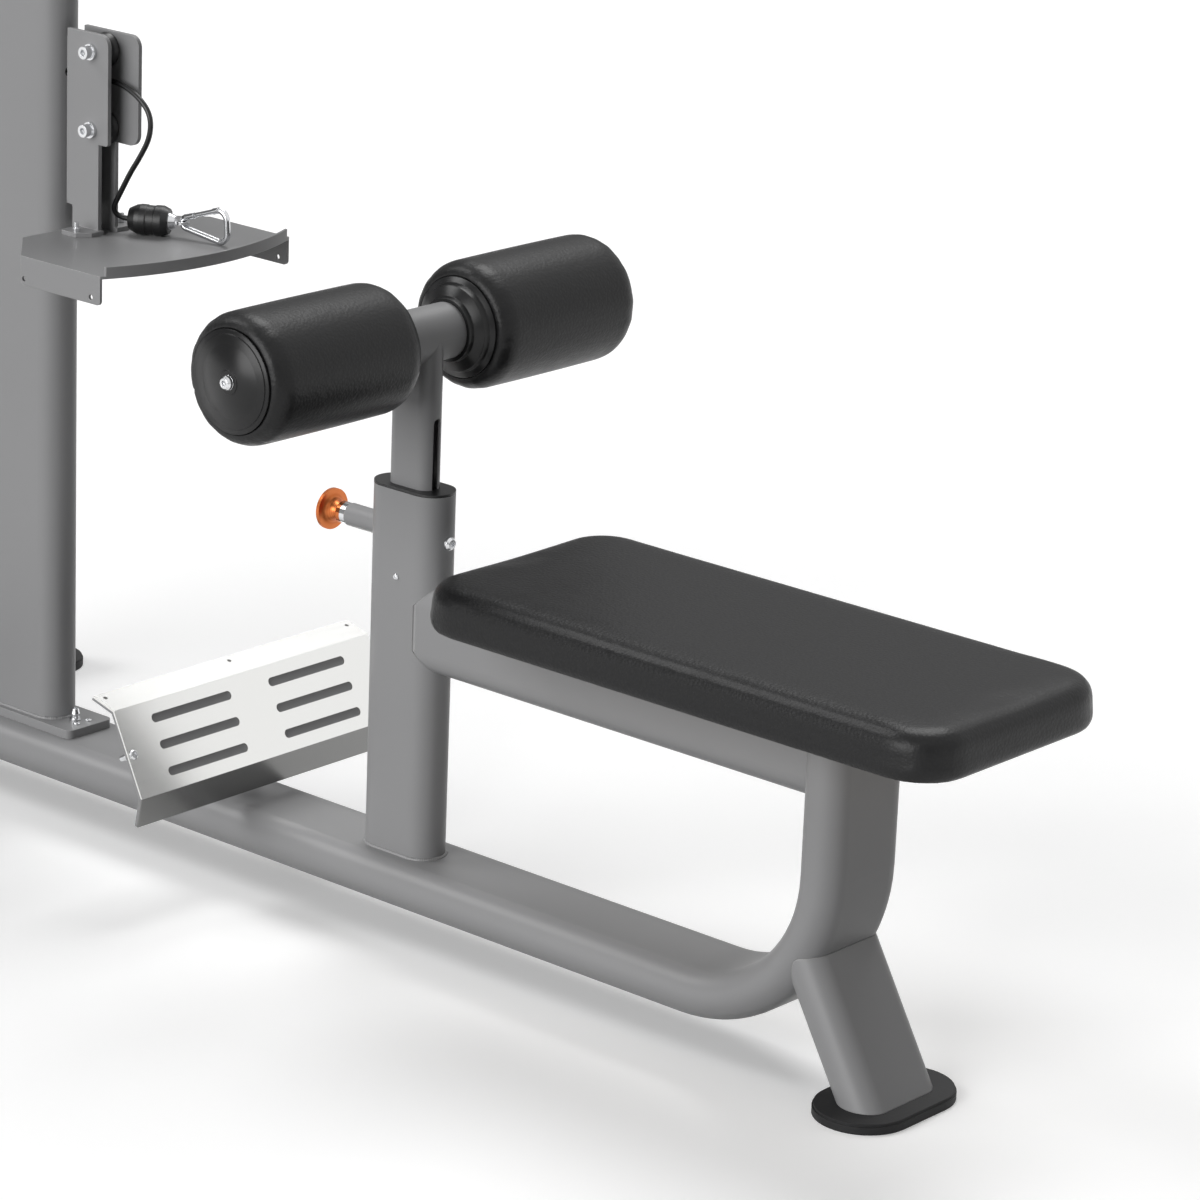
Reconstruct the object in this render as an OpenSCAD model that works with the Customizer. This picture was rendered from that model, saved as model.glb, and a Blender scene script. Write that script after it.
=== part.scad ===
// Lat pulldown and seated row machine, in millimetres.
// +X runs from the weight tower to the seat end, +Z is up, Y = 0 is the plane of symmetry.
// The person on the seat faces -X, so their left hand is at -Y.

/* [Layout] */
// From the machine's middle to the front post
post_x = 157; // [120:1:220]
// Front post to tower column, centre to centre
tower_run = 607; // [560:1:700]
// Tower column to the weight stack, centre to centre
stack_run = 273; // [268:1:320]
// Weight stack to the tower's rear upright, centre to centre
rear_run = 193; // [190:1:230]
// Tower column to the cross tube of the tower's feet
cross_run = 308; // [290:1:330]
// Front post to the seat upright, centre to centre
seat_run = 598; // [560:1:680]
// Front post to the overhead front pulley
pulley_run = 110; // [100:1:200]
// Height of the boom's top over the floor
machine_h = 2220; // [2180:5:2400]

/* [Steel tubes] */
// Narrow way of the flat-oval tubes
tube_t = 50; // [48:1:52]
// Wall of the tubes
tube_wall = 3; // [2:0.5:4]
// Wide way of the floor rail and of the seat upright
rail_w = 120; // [110:2:130]
// Underside of the floor rail over the floor
rail_z = 41; // [41:1:60]
// Radius of the rail's bend, on its centre line
bend_r = 168; // [160:1:180]
// Long way of the front post's section
post_w = 100; // [90:2:110]
// Top of the front post over the floor
post_top = 495; // [490:1:500]
// Depth of the seat beam
beam_h = 100; // [80:2:110]
// Top of the seat beam over the floor
beam_top = 400; // [390:1:420]
// Long way of the tower column's section
column_w = 150; // [140:2:160]
// Long way of the tower's rear upright
upright_w = 75; // [60:1:80]
// Height of the cross tube's section
cross_h = 75; // [70:1:75]
// Length of the cross tube
cross_l = 670; // [640:5:700]
// Depth of the overhead boom
boom_h = 100; // [90:2:110]

/* [Feet] */
// Length of a foot pad, across the machine
pad_l = 171; // [160:1:190]
// Width of a foot pad
pad_w = 103; // [95:1:115]
// Thickness of a foot pad
pad_t = 11; // [8:0.5:11]
// Each tower pad's distance from the middle
pad_y = 275; // [240:1:290]
// Thickness of the steel foot plates
foot_plate_t = 7; // [6:0.5:9]
// Lean of the rear leg from upright, degrees
leg_lean = 30; // [28:1:31]
// Wide way of the rear leg
leg_w = 118; // [100:2:118]
// Seat upright's centre to the rear pad's centre
leg_reach = 62; // [58:1:66]

/* [Thigh hold-down] */
// Long way of the sliding post
slide_w = 60; // [56:1:66]
// Narrow way of the sliding post
slide_t = 30; // [28:1:32]
// Bottom of the sliding post over the floor
slide_foot = 320; // [300:1:330]
// Spacing of the locking holes
hole_pitch = 30; // [25:1:30]
// Width of the guide slot
slot_w = 10; // [9:0.5:11]
// Top of the guide slot over the floor
slot_top = 575; // [570:1:590]
// Diameter of the crossbar
bar_d = 60; // [56:1:62]
// Height of the crossbar's centre
bar_z = 658; // [650:1:680]
// Radius of a roller
roller_r = 67.3; // [62:0.1:75]
// Length of a roller
roller_l = 208; // [180:1:240]
// Gap between the two rollers
roller_gap = 124; // [110:1:150]
// Roundness of a roller's ends
roller_end_r = 20; // [14:1:24]
// Diameter of the rollers' end caps
cap_d = 108; // [100:1:112]

/* [Pull pin] */
// Height of the pull pin
pin_z = 444; // [440:1:448]
// Diameter of the pin's nose
nose_d = 12; // [10:0.5:14]
// Outer diameter of the pin's housing
housing_d = 25; // [23:0.5:28]
// Length of the housing outside the post
housing_l = 41; // [38:1:50]
// Length of the nut on the housing
pin_nut_l = 13; // [10:1:16]
// Diameter of the knob
knob_d = 45; // [38:1:50]
// Length of the knob
knob_l = 20; // [18:1:26]
// Travel of the pull pin
pin_travel = 12; // [8:1:13]

/* [Seat] */
// Length of the seat pad
seat_l = 670; // [600:5:700]
// Width of the seat pad
seat_w = 298; // [260:2:340]
// Thickness of the seat pad with its board
seat_t = 52; // [46:1:60]
// Front post's centre to the seat pad's near end
seat_start = 131.4; // [110:0.1:150]
// Corner radius of the seat pad
seat_corner = 56; // [40:1:80]
// Roundness of the pad's top edge
seat_edge = 20; // [12:1:22]
// Thickness of the seat board
board_t = 12; // [9:1:15]
// Thickness of the seat's mounting plates
seat_plate_t = 3; // [3:0.5:5]

/* [Foot plate] */
// Front post's centre to the foot plate's upper fold
step_run = 248.5; // [240:0.5:270]
// Height of the upper fold
step_z = 227.6; // [220:0.1:240]
// Width of the foot plate
step_w = 392; // [360:2:420]
// Length of the tread between its folds
tread_l = 100; // [100:1:110]
// Lean of the tread from upright, degrees
tread_lean = 26.7; // [24:0.1:30]
// Length of the top flange
step_top_l = 34; // [28:1:40]
// Length of the bottom flange
step_foot_l = 34; // [28:1:38]
// Thickness of the bright tread sheet
tread_t = 2; // [1.5:0.5:3]
// Thickness of the painted backing plate
backing_t = 3; // [3:0.5:5]

/* [Row outlet] */
// Height of the row cable where it leaves the column
row_z = 852; // [848:1:856]
// Gap between the bracket's two plates
bracket_gap = 20; // [20:1:24]
// Thickness of the bracket's plates
bracket_t = 5; // [4:0.5:6]
// Top of the bracket over the floor
bracket_top = 904; // [900:1:915]
// Radius of the two guide rollers
guide_r = 19; // [15:0.5:20]
// Height of the shelf's top
shelf_z = 681; // [670:1:690]
// Half width of the shelf
shelf_half = 142; // [130:1:160]
// Thickness of the shelf
shelf_t = 3; // [2:0.5:4]
// Height of the shelf's side flanges
flange_h = 32; // [26:1:40]
// Radius of the shelf's front edge
shelf_r = 335; // [320:1:350]

/* [Cable and pulleys] */
// Diameter of the coated cable
cable_d = 6; // [5:0.5:6]
// Radius of the cable's centre line on a pulley
wrap_r = 42; // [40:0.5:42]
// Rim radius of a pulley
pulley_r = 48; // [46:0.5:48]
// Width of a pulley
pulley_w = 24; // [20:1:24]
// Diameter of the pulley bolts
axle_d = 12; // [10:0.5:12]
// Height of the overhead pulleys
high_z = 2060; // [2050:1:2064]
// Height of the two pulleys behind the column
link_z = 1995; // [1985:1:2000]

/* [Weight stack] */
// Length of a weight plate
weight_l = 280; // [270:1:284]
// Width of a weight plate
weight_w = 110; // [100:1:130]
// Thickness of a weight plate
weight_t = 25; // [20:0.5:26]
// Number of plates that stay down
resting_n = 9; // [4:1:10]
// Number of plates lifted with the top plate
lifted_n = 6; // [3:1:8]
// Thickness of the top plate
top_t = 30; // [26:1:34]
// Diameter of a guide rod
rod_d = 25; // [22:0.5:26]
// Spacing of the guide rods
rod_gap = 220; // [210:1:224]
// Top of the guide rods over the floor
rod_top = 1592; // [1560:1:1650]
// Height of the rubber bumpers
bumper_h = 40; // [30:1:50]
// Diameter of the plate carrier's stem
stem_d = 24; // [22:0.5:26]

/* [Lat bar] */
// Top of the lat cable's stopper over the floor
lat_z = 1909; // [1880:1:1940]
// Diameter of the lat bar
lat_d = 28; // [25:0.5:30]
// Half of the bar's straight length
lat_half = 430; // [380:5:450]
// Droop of the bar's ends, degrees
lat_bend = 30; // [15:1:35]
// Diameter of the bar's grips
grip_d = 36; // [33:0.5:40]
// Length of a grip
grip_l = 130; // [110:1:150]

/* [Hidden] */
$fn = 64;

paint = "#8a8b8c";
black = "#1d1d1f";
chrome = "#d9dadc";
bright = "#e8e8e6";
copper = "#c8702c";

// Clearances: at running fits, between soft or moving neighbours, and in bolt holes
run = 0.05;
gap = 0.3;
hole_play = 0.1;
cut = 1;

cable_r = cable_d / 2;
axle_r = axle_d / 2;
tube_r = tube_t / 2;

// Places along the machine
column_x = post_x - tower_run;
stack_x = column_x - stack_run;
rear_x = stack_x - rear_run;
cross_x = column_x - cross_run;
seat_x = post_x + seat_run;
front_x = post_x + pulley_run;
rear_face = rear_x - upright_w / 2;
column_face = column_x + column_w / 2;
seat_near = post_x + seat_start;

// Heights of the frame
rail_top = rail_z + tube_t;
rail_mid = rail_z + tube_t / 2;
bend_x = seat_x - bend_r;
base_plate_t = 10;
base_plate_half = 34;
plate_front = column_face + 38;
plate_back = column_x - column_w / 2 - 38;
boom_z = machine_h - boom_h / 2;
boom_front = front_x - 10;
end_cap_t = 5;
cross_mid = rail_top - cross_h / 2;
beam_z = beam_top - beam_h / 2;

// Cable path
rise_x = stack_x + wrap_r;
fall_x = stack_x - wrap_r;
link_a_x = rise_x + wrap_r;
column_run_x = column_face - 115;
link_b_x = column_run_x - wrap_r;
column_pulley_x = column_run_x + wrap_r;
column_pulley_z = row_z + wrap_r;
drop_x = front_x + wrap_r;

// Stack heights
floor_plate_t = 8;
weight_pitch = weight_t + gap;
bumper_top = rail_top + floor_plate_t + bumper_h;
lifted_z = bumper_top + resting_n * weight_pitch;
top_z = lifted_z + lifted_n * weight_pitch;
clevis_z = top_z + top_t;
clevis_t = 12;
travel_z = clevis_z + clevis_t + pulley_r + 36;
rod_plate_t = 8;
selector_z = lifted_z + weight_t / 2;

// Row outlet
bracket_x = column_face + 11;
guide_x = bracket_x + 38;
bolt_drop = [bracket_top - 20.7, bracket_top - 107.1];
plate_y = bracket_gap / 2;
near_reach = 64.5;
far_reach = 86;
neck_reach = 50;
shelf_back = column_face + 16;
shelf_side = shelf_back + 60;
shelf_front = shelf_back + 216;
outlet = [bracket_x + 51, 0, row_z];

// The row cable's free end, from the outlet between the rollers to its stopper on the shelf
tail_route = [[0, 0, 0], [20, 0, -2], [38, 0, -8], [53, 0, -17], [62, 0, -27], [65, 0, -40],
    [60, 1, -57], [47, 2, -77], [31, 3, -98], [15, 4, -122], [5.5, 4.5, -137], [3, 5.5, -143],
    [3, 8, -148.5], [6, 12, -152.5], [11, 15.5, -154], [15, 18, -154]];
tail_start = [1, 0, 0];
tail_turn = 31;
tail_end = [cos(tail_turn), sin(tail_turn), 0];
tail_sides = 10;
tail_tip = outlet + tail_route[len(tail_route) - 1];

// Stoppers and hook
stopper_r = 17;
stopper_l = 45;
ferrule_r = 8;
eye_r = 10;
eye_reach = 15;
hook_d = 7;
hook_l = 70;
hook_w = 42;
hook_nose_w = 20;
hook_corner = 11;
hook_turn = 6;
gate_d = 5.6;
gate_pivot = 9;
gate_seat = 7;
pivot_d = 2.5;
tongue_t = 2.2;

// Lat bar
lat_ferrule_l = 24;
eye_drop = 15;
link_r = 9;
link_d = 8;
link_l = 44;
lug_r = 11;
lug_t = 6;
link_top = lat_z - stopper_l - lat_ferrule_l - eye_drop;
lat_bar_z = link_top - link_l - lug_r - lat_d / 2 + 1;
lat_bend_r = 80;

// Flat-oval outline, l long along X and w across
module oval(l, w) {
    square([l - w, w], center = true);
    for (s = [-1, 1]) translate([s * (l - w) / 2, 0]) circle(d = w);
}

// Rectangle with rounded corners, between two corner points
module round_rect(low, high, r) {
    size = high - low;
    translate(low + [r, 0]) square([size[0] - 2 * r, size[1]]);
    translate(low + [0, r]) square([size[0], size[1] - 2 * r]);
    for (x = [low[0] + r, high[0] - r], y = [low[1] + r, high[1] - r]) translate([x, y]) circle(r);
}

// Extrudes an outline in the Y-Z plane along X
module along_x(x, l) {
    translate([x, 0, 0]) rotate([90, 0, 90]) linear_extrude(l) children();
}

// Extrudes an outline in the X-Z plane along Y
module along_y(y, l) {
    translate([0, y + l, 0]) rotate([90, 0, 0]) linear_extrude(l) children();
}

// Round bars along each axis, between two places
module rod_x(x0, x1, y, z, d) {
    translate([x0, y, z]) rotate([0, 90, 0]) cylinder(h = x1 - x0, d = d);
}

module rod_y(y0, y1, x, z, d) {
    translate([x, y0, z]) rotate([-90, 0, 0]) cylinder(h = y1 - y0, d = d);
}

module rod_z(z0, z1, x, y, d) {
    translate([x, y, z0]) cylinder(h = z1 - z0, d = d);
}

// Upright flat-oval bar with its long way along X, drawn in by inset all round
module upright_bar(x, l, z0, z1, inset = 0) {
    translate([x, 0, z0]) linear_extrude(z1 - z0) oval(l - 2 * inset, tube_t - 2 * inset);
}

// Points of a swept tube: one ring at each place of the path
function unit(v) = v / norm(v);
function path_way(p, i, first, last) =
    i == 0 ? first : i == len(p) - 1 ? last : unit(p[i + 1] - p[i - 1]);
function ring(centre, way, side, r, sides) =
    let (v = unit(side - (side * way) * way), u = cross(v, way))
    [for (k = [0 : sides - 1]) centre + r * (cos(360 * k / sides) * u + sin(360 * k / sides) * v)];
function skin(rings, sides) = [for (i = [0 : rings - 2], k = [0 : sides - 1])
    let (a = i * sides + k, b = i * sides + (k + 1) % sides)
    each [[a, a + sides, b], [b, a + sides, b + sides]]];
function fan(first, sides) = [for (k = [1 : sides - 2]) [first, first + k, first + k + 1]];
function flip(faces) = [for (f = faces) [f[0], f[2], f[1]]];

// Closed solid through a stack of rings that all have the same number of points
module stacked(rings) {
    sides = len(rings[0]);
    faces = concat(skin(len(rings), sides), fan(0, sides), flip(fan((len(rings) - 1) * sides, sides)));
    polyhedron([for (r = rings) each r], faces);
}

module swept_tube(path, first, last, side, r, sides) {
    stacked([for (i = [0 : len(path) - 1]) ring(path[i], path_way(path, i, first, last), side, r, sides)]);
}

// Bolt along Y: head at -Y and nut at +Y outside half, spacers between the pulley and seat
module axle_bolt(x, z, half, seat) {
    from = pulley_w / 2 + gap;
    head_h = 8;
    nut_h = 10;
    rod_y(-half - head_h, half + nut_h, x, z, axle_d);
    rod_y(-half - head_h, -half, x, z, 1.5 * axle_d);
    rod_y(half, half + nut_h, x, z, 1.6 * axle_d);
    for (s = [-1, 1]) rod_y(s > 0 ? from : -seat, s > 0 ? seat : -from, x, z, 1.5 * axle_d);
}

// Domed screw head standing on z = 0, with a hex socket
module screw_head(d, h) {
    difference() {
        union() {
            cylinder(h = h / 2, d = d);
            translate([0, 0, h / 2]) cylinder(h = h / 2, d1 = d, d2 = 0.7 * d);
        }
        translate([0, 0, h / 2]) cylinder(h = h, d = 0.42 * d, $fn = 6);
    }
}

// The rail's bend, outer or drawn in by inset
module bend_body(inset) {
    translate([bend_x, 0, rail_mid + bend_r]) rotate([90, 0, 0]) rotate([0, 0, -90])
        rotate_extrude(angle = 90) translate([bend_r, 0]) rotate(90) oval(rail_w - 2 * inset, tube_t - 2 * inset);
}

// The floor rail's outer or inner body: flat run, bend and seat upright
module rail_body(inset, over) {
    w = rail_w - 2 * inset;
    t = tube_t - 2 * inset;
    start = cross_x + 2 - over;
    translate([0, 0, rail_mid]) along_x(start, bend_x - start) oval(w, t);
    bend_body(inset);
    translate([seat_x, 0, rail_mid + bend_r]) linear_extrude(beam_top - rail_mid - bend_r + over)
        rotate(90) oval(w, t);
}

module cross_bar(inset, over) {
    half = cross_l / 2 + over;
    translate([cross_x, 0, cross_mid]) along_y(-half, 2 * half)
        rotate(90) oval(cross_h - 2 * inset, tube_t - 2 * inset);
}

module boom_bar(inset, over) {
    translate([0, 0, boom_z]) along_x(rear_face - over, boom_front - rear_face + 2 * over)
        rotate(90) oval(boom_h - 2 * inset, tube_t - 2 * inset);
}

module beam_bar(inset) {
    translate([0, 0, beam_z]) along_x(post_x, seat_x - tube_r - post_x)
        rotate(90) oval(beam_h - 2 * inset, tube_t - 2 * inset);
}

module post_bar(inset, over) {
    upright_bar(post_x, post_w, rail_top - over, post_top + over, inset);
}

module column_bar(inset, over) {
    upright_bar(column_x, column_w, rail_top + base_plate_t - over, boom_z, inset);
}

module base_rail() {
    color(paint) difference() {
        rail_body(0, 0);
        rail_body(tube_wall, cut);
        cross_bar(0, 0);
    }
}

// Distance along the leaning leg from the pad's top to the bend's centre line
function leg_length() =
    let (start = [seat_x + leg_reach - bend_x, pad_t - rail_mid - bend_r],
        way = [-sin(leg_lean), cos(leg_lean)], b = way * start)
    -b - sqrt(b * b - start * start + bend_r * bend_r);

module rear_leg() {
    color(paint) difference() {
        intersection() {
            leg_bar(0, leg_length() - 3);
            translate([bend_x, -rail_w, pad_t]) cube([2 * bend_r + leg_reach, 2 * rail_w, 2 * bend_r]);
        }
        leg_bar(tube_wall, leg_length() + cut);
        bend_body(0);
    }
}

// The leaning leg's body, from below the pad's top up into the bend
module leg_bar(inset, length) {
    translate([seat_x + leg_reach, 0, pad_t]) rotate([0, -leg_lean, 0]) translate([0, 0, -40])
        linear_extrude(40 + length) rotate(90) oval(leg_w - 2 * inset, tube_t - 2 * inset);
}

module foot_pad(x, y) {
    bevel = 3;
    translate([x, y, 0]) {
        linear_extrude(pad_t - bevel) rotate(90) oval(pad_l, pad_w);
        translate([0, 0, pad_t - bevel]) linear_extrude(bevel) rotate(90) oval(pad_l - bevel, pad_w - bevel);
    }
}

module foot_pads() {
    color(black) {
        foot_pad(seat_x + leg_reach, 0);
        for (s = [-1, 1]) foot_pad(cross_x, s * pad_y);
    }
}

module front_post() {
    color(paint) difference() {
        post_bar(0, 0);
        post_bar(tube_wall, cut);
        rod_x(post_x - post_w, post_x, 0, pin_z, nose_d + 2 * run);
        rod_x(post_x, post_x + post_w, 0, pin_z, slot_w - 0.6 + hole_play);
        rod_y(-tube_t, 0, post_x, lower_bush_z, bush_screw_d + hole_play);
    }
}

lower_bush_z = 401;
bush_h = 32;
bush_screw_d = 5;
flange_t = 3;
key_l = 8;

module post_bush(z, h) {
    fit = 2 * tube_wall + 2 * run;
    translate([post_x, 0, z]) linear_extrude(h) oval(post_w - fit, tube_t - fit);
}

module slide_opening(z, h) {
    translate([post_x, 0, z]) linear_extrude(h) oval(slide_w + 2 * run, slide_t + 2 * run);
}

module post_bushes() {
    upper_h = 40;
    key_w = slot_w - 2 * gap;
    color(black) {
        difference() {
            union() {
                post_bush(post_top - upper_h, upper_h);
                upright_bar(post_x, post_w, post_top, post_top + flange_t);
            }
            difference() {
                slide_opening(post_top - upper_h - cut, upper_h + flange_t + 2 * cut);
                translate([post_x + slide_w / 2 - 2.4, -key_w / 2, post_top + flange_t - key_l])
                    cube([10, key_w, key_l]);
            }
        }
        difference() {
            post_bush(lower_bush_z - bush_h / 2, bush_h);
            slide_opening(lower_bush_z - bush_h / 2 - cut, bush_h + 2 * cut);
            rod_y(-tube_t, 0, post_x, lower_bush_z, bush_screw_d + hole_play);
        }
    }
}

module post_fittings() {
    face = post_x + post_w / 2;
    tip = post_x + slide_w / 2 - 2.4;
    guide_d = slot_w - 2 * gap;
    head_d = 14.5;
    color(chrome) {
        rod_x(tip, face + cut, 0, pin_z, guide_d);
        translate([face, 0, pin_z]) rotate([0, 90, 0]) screw_head(head_d, 6);
        rod_y(-tube_r - cut, -slide_t / 2 - 1.5, post_x, lower_bush_z, bush_screw_d);
        translate([post_x, -tube_r, lower_bush_z]) rotate([90, 0, 0]) screw_head(7, 2.4);
    }
}

// Pull pin: places along its axis, from the knob's end to the nose
housing_face = post_x - post_w / 2 - housing_l;
nut_face = housing_face - pin_nut_l;
collar_face = post_x - post_w / 2 - 5 - gap;
collar_t = 4;
collar_d = housing_d - 8;
pin_d = 8;
nose_x = post_x - slide_w / 2 - gap;

module pin_housing() {
    color(paint) difference() {
        rod_x(housing_face, post_x - post_w / 4, 0, pin_z, housing_d);
        post_bar(0, cut);
        rod_x(housing_face - cut, collar_face + gap, 0, pin_z, collar_d + 1);
        rod_x(housing_face, post_x, 0, pin_z, nose_d + 2 * run);
    }
    color(chrome) difference() {
        rod_x(nut_face, housing_face, 0, pin_z, housing_d - 1);
        rod_x(nut_face - cut, housing_face + cut, 0, pin_z, pin_d + 2 * run);
        rod_x(nut_face - cut, nut_face + 3, 0, pin_z, pin_d + 4);
    }
}

// The spring is drawn at the length it has when the pin is pulled out
module pin_spring() {
    spring_end = collar_face - collar_t - pin_travel - gap;
    color(chrome) difference() {
        rod_x(housing_face + gap, spring_end, 0, pin_z, collar_d - 0.5);
        rod_x(housing_face, spring_end + cut, 0, pin_z, pin_d + 3);
    }
}

module pull_pin() {
    knob_x = nut_face - gap;
    color(chrome) {
        rod_x(collar_face - cut, nose_x, 0, pin_z, nose_d);
        rod_x(collar_face - collar_t, collar_face, 0, pin_z, collar_d);
        rod_x(knob_x - 6, collar_face, 0, pin_z, pin_d);
    }
    color(copper) translate([knob_x, 0, pin_z]) rotate([0, -90, 0]) difference() {
        rotate_extrude() knob_outline();
        cylinder(h = 6, d = pin_d);
    }
}

// Radius of a dome that rises h over a disc of radius r
function dome_r(r, h) = (r * r + h * h) / (2 * h);

// Half outline of the mushroom knob: neck, flare, rim and domed face
module knob_outline() {
    neck_r = 8;
    rim = 4;
    dome = 2;
    disc_z = knob_l - dome - rim;
    r = knob_d / 2;
    flare = min(r - neck_r - 2, disc_z - 2);
    square([neck_r, disc_z + 1]);
    difference() {
        translate([0, disc_z - flare]) square([neck_r + flare, flare + 1]);
        translate([neck_r + flare, disc_z - flare]) circle(flare);
    }
    translate([0, disc_z]) square([r, rim]);
    intersection() {
        translate([0, disc_z + rim / 2]) square([r, rim]);
        translate([0, knob_l - dome_r(r, dome)]) circle(dome_r(r, dome), $fn = 128);
    }
}

module thigh_post() {
    half = roller_gap / 2 + roller_l - 2;
    slot_low = pin_z - hole_pitch * 3 - slot_w;
    color(paint) difference() {
        union() {
            translate([post_x, 0, slide_foot]) linear_extrude(bar_z - slide_foot) oval(slide_w, slide_t);
            rod_y(-half, half, post_x, bar_z, bar_d);
        }
        translate([post_x, 0, slide_foot - cut]) linear_extrude(bar_z - bar_d / 2 - 4 - slide_foot)
            oval(slide_w - 2 * tube_wall, slide_t - 2 * tube_wall);
        rod_y(-half + 6, half - 6, post_x, bar_z, bar_d - 2 * tube_wall);
        rod_y(-half - cut, half + cut, post_x, bar_z, cap_bolt_d + hole_play);
        for (k = [-2 : 3]) rod_x(post_x - slide_w, post_x - slide_w / 4, 0, pin_z - k * hole_pitch, nose_d + 0.6);
        along_x(post_x + slide_w / 4, slide_w) translate([0, slot_low]) round_rect([-slot_w / 2, 0],
            [slot_w / 2, slot_top - slot_low], slot_w / 2 - 0.01);
    }
}

// Roller caps, in a frame whose +Z points away from the middle of the crossbar
cap_bolt_d = 8;
cap_t = 4;

module outer_cap() {
    color(black) rotate_extrude() difference() {
        union() {
            square([cap_d / 2, cap_t]);
            square([cap_d / 2 - 5, cap_t + 1.2]);
            square([12.5, cap_t + 4]);
            intersection() {
                square([cap_d / 2 - 9, cap_t + 8]);
                translate([0, cap_t + 3.4 - dome_r(cap_d / 2 - 9, 3)]) circle(dome_r(cap_d / 2 - 9, 3), $fn = 128);
            }
        }
        square([cap_bolt_d / 2 + hole_play, 40], center = false);
    }
}

module inner_cap() {
    bore = bar_d / 2 + run;
    color(black) rotate_extrude() polygon([[bore, 0], [cap_d / 2, 0], [cap_d / 2, 3], [cap_d / 2 - 6, 5],
        [cap_d / 2 - 8, 11], [bore + 5, 15], [bore + 4, 21], [bore, 21]]);
}

module roller_caps() {
    outer = roller_gap / 2 + roller_l + gap;
    inner = roller_gap / 2 - gap;
    for (s = [-1, 1]) {
        translate([post_x, s * outer, bar_z]) rotate([-90 * s, 0, 0]) {
            outer_cap();
            color(chrome) translate([0, 0, cap_t + 4]) screw_head(15, 6);
            color(chrome) translate([0, 0, -10]) cylinder(h = cap_t + 15, d = cap_bolt_d);
        }
        translate([post_x, s * inner, bar_z]) rotate([90 * s, 0, 0]) inner_cap();
    }
}

// Padded roller on the crossbar, side -1 or 1
module roller(side) {
    bore = bar_d / 2 + run;
    r = roller_end_r;
    color(black) translate([post_x, side * (roller_gap + roller_l) / 2, bar_z]) rotate([90, 0, 0])
        rotate_extrude() difference() {
            union() {
                translate([0, -roller_l / 2]) square([roller_r - r, roller_l]);
                translate([0, -roller_l / 2 + r]) square([roller_r, roller_l - 2 * r]);
                for (e = [-1, 1]) translate([roller_r - r, e * (roller_l / 2 - r)]) circle(r);
            }
            translate([-roller_r, -roller_l]) square([roller_r + bore, 2 * roller_l]);
        }
}

module left_roller() {
    roller(-1);
}

module right_roller() {
    roller(1);
}

module seat_beam() {
    color(paint) difference() {
        beam_bar(0);
        beam_hollow();
        post_bar(0, 0);
    }
}

// The hollow inside the seat beam, open at both ends
module beam_hollow() {
    inner_l = seat_x - tube_r - post_x + cut;
    translate([0, 0, beam_z]) along_x(post_x, inner_l)
        rotate(90) oval(beam_h - 2 * tube_wall, tube_t - 2 * tube_wall);
}

// Middles of the two mounting plates under the seat
seat_plate_x = [seat_near + 110, seat_x];
seat_z = beam_top + seat_plate_t;
seat_plate_w = 60;
seat_plate_l = 160;
seat_screw_y = 70;
seat_screw_d = 8;

module seat_plates() {
    gusset_t = 6;
    color(paint) for (x = seat_plate_x) {
        difference() {
            translate([x - seat_plate_w / 2, -seat_plate_l / 2, beam_top])
                cube([seat_plate_w, seat_plate_l, seat_plate_t]);
            for (s = [-1, 1]) rod_z(beam_top - cut, seat_z + cut, x, s * seat_screw_y, seat_screw_d + hole_play);
        }
    }
    color(paint) difference() {
        for (s = [-1, 1]) along_x(seat_plate_x[0] + s * 20 - gusset_t / 2, gusset_t)
            polygon([[-50, beam_top], [50, beam_top], [36, beam_top - 40], [-36, beam_top - 40]]);
        beam_bar(0);
    }
}

module seat_board() {
    inset = 14;
    color("#b08d5b") difference() {
        translate([0, 0, seat_z]) linear_extrude(board_t)
            round_rect([seat_near + inset, -seat_w / 2 + inset], [seat_near + seat_l - inset, seat_w / 2 - inset],
                seat_corner - inset);
        for (x = seat_plate_x, s = [-1, 1])
            rod_z(seat_z - cut, seat_z + board_t + cut, x, s * seat_screw_y, seat_screw_d + hole_play);
    }
}

module seat_screws() {
    head_h = 5;
    color(chrome) for (x = seat_plate_x, s = [-1, 1]) {
        rod_z(beam_top - head_h, seat_z + board_t - 1, x, s * seat_screw_y, seat_screw_d);
        rod_z(beam_top - head_h, beam_top, x, s * seat_screw_y, 1.8 * seat_screw_d);
    }
}

// One level of the cushion: a rounded rectangle drawn in by inset, at height z
function pad_ring(inset, z) =
    let (r = max(seat_corner - inset, 6), hx = seat_l / 2 - inset - r, hy = seat_w / 2 - inset - r)
    [for (c = [[1, 1, 0], [-1, 1, 90], [-1, -1, 180], [1, -1, 270]], a = [0 : 15 : 90])
        [seat_near + seat_l / 2 + c[0] * hx + r * cos(a + c[2]), c[1] * hy + r * sin(a + c[2]), z]];

// The cushion stands on the board and wraps down round it; its top has a low crown
module seat_cushion() {
    top = seat_z + seat_t;
    crown = 3;
    edge_z = top - crown - seat_edge;
    half = seat_w / 2;
    side = [[9, 0], [3.5, 2], [1.6, 8], [0.4, 16]];
    rim = [for (a = [0 : 15 : 75]) [seat_edge * (1 - cos(a)), edge_z + seat_edge * sin(a)]];
    dome = [for (k = [0 : 5]) let (d = k / 5, inset = seat_edge + d * (half - seat_edge - 7))
        [inset, top - crown + crown * (1 - (1 - d) * (1 - d))]];
    levels = concat([for (p = side) [p[0], seat_z + p[1]]], rim, dome);
    pocket = 14 - gap;
    color(black) difference() {
        stacked([for (p = levels) pad_ring(p[0], p[1])]);
        translate([0, 0, seat_z - cut]) linear_extrude(board_t + gap + cut)
            round_rect([seat_near + pocket, -seat_w / 2 + pocket],
                [seat_near + seat_l - pocket, seat_w / 2 - pocket], seat_corner - pocket);
    }
}

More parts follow.
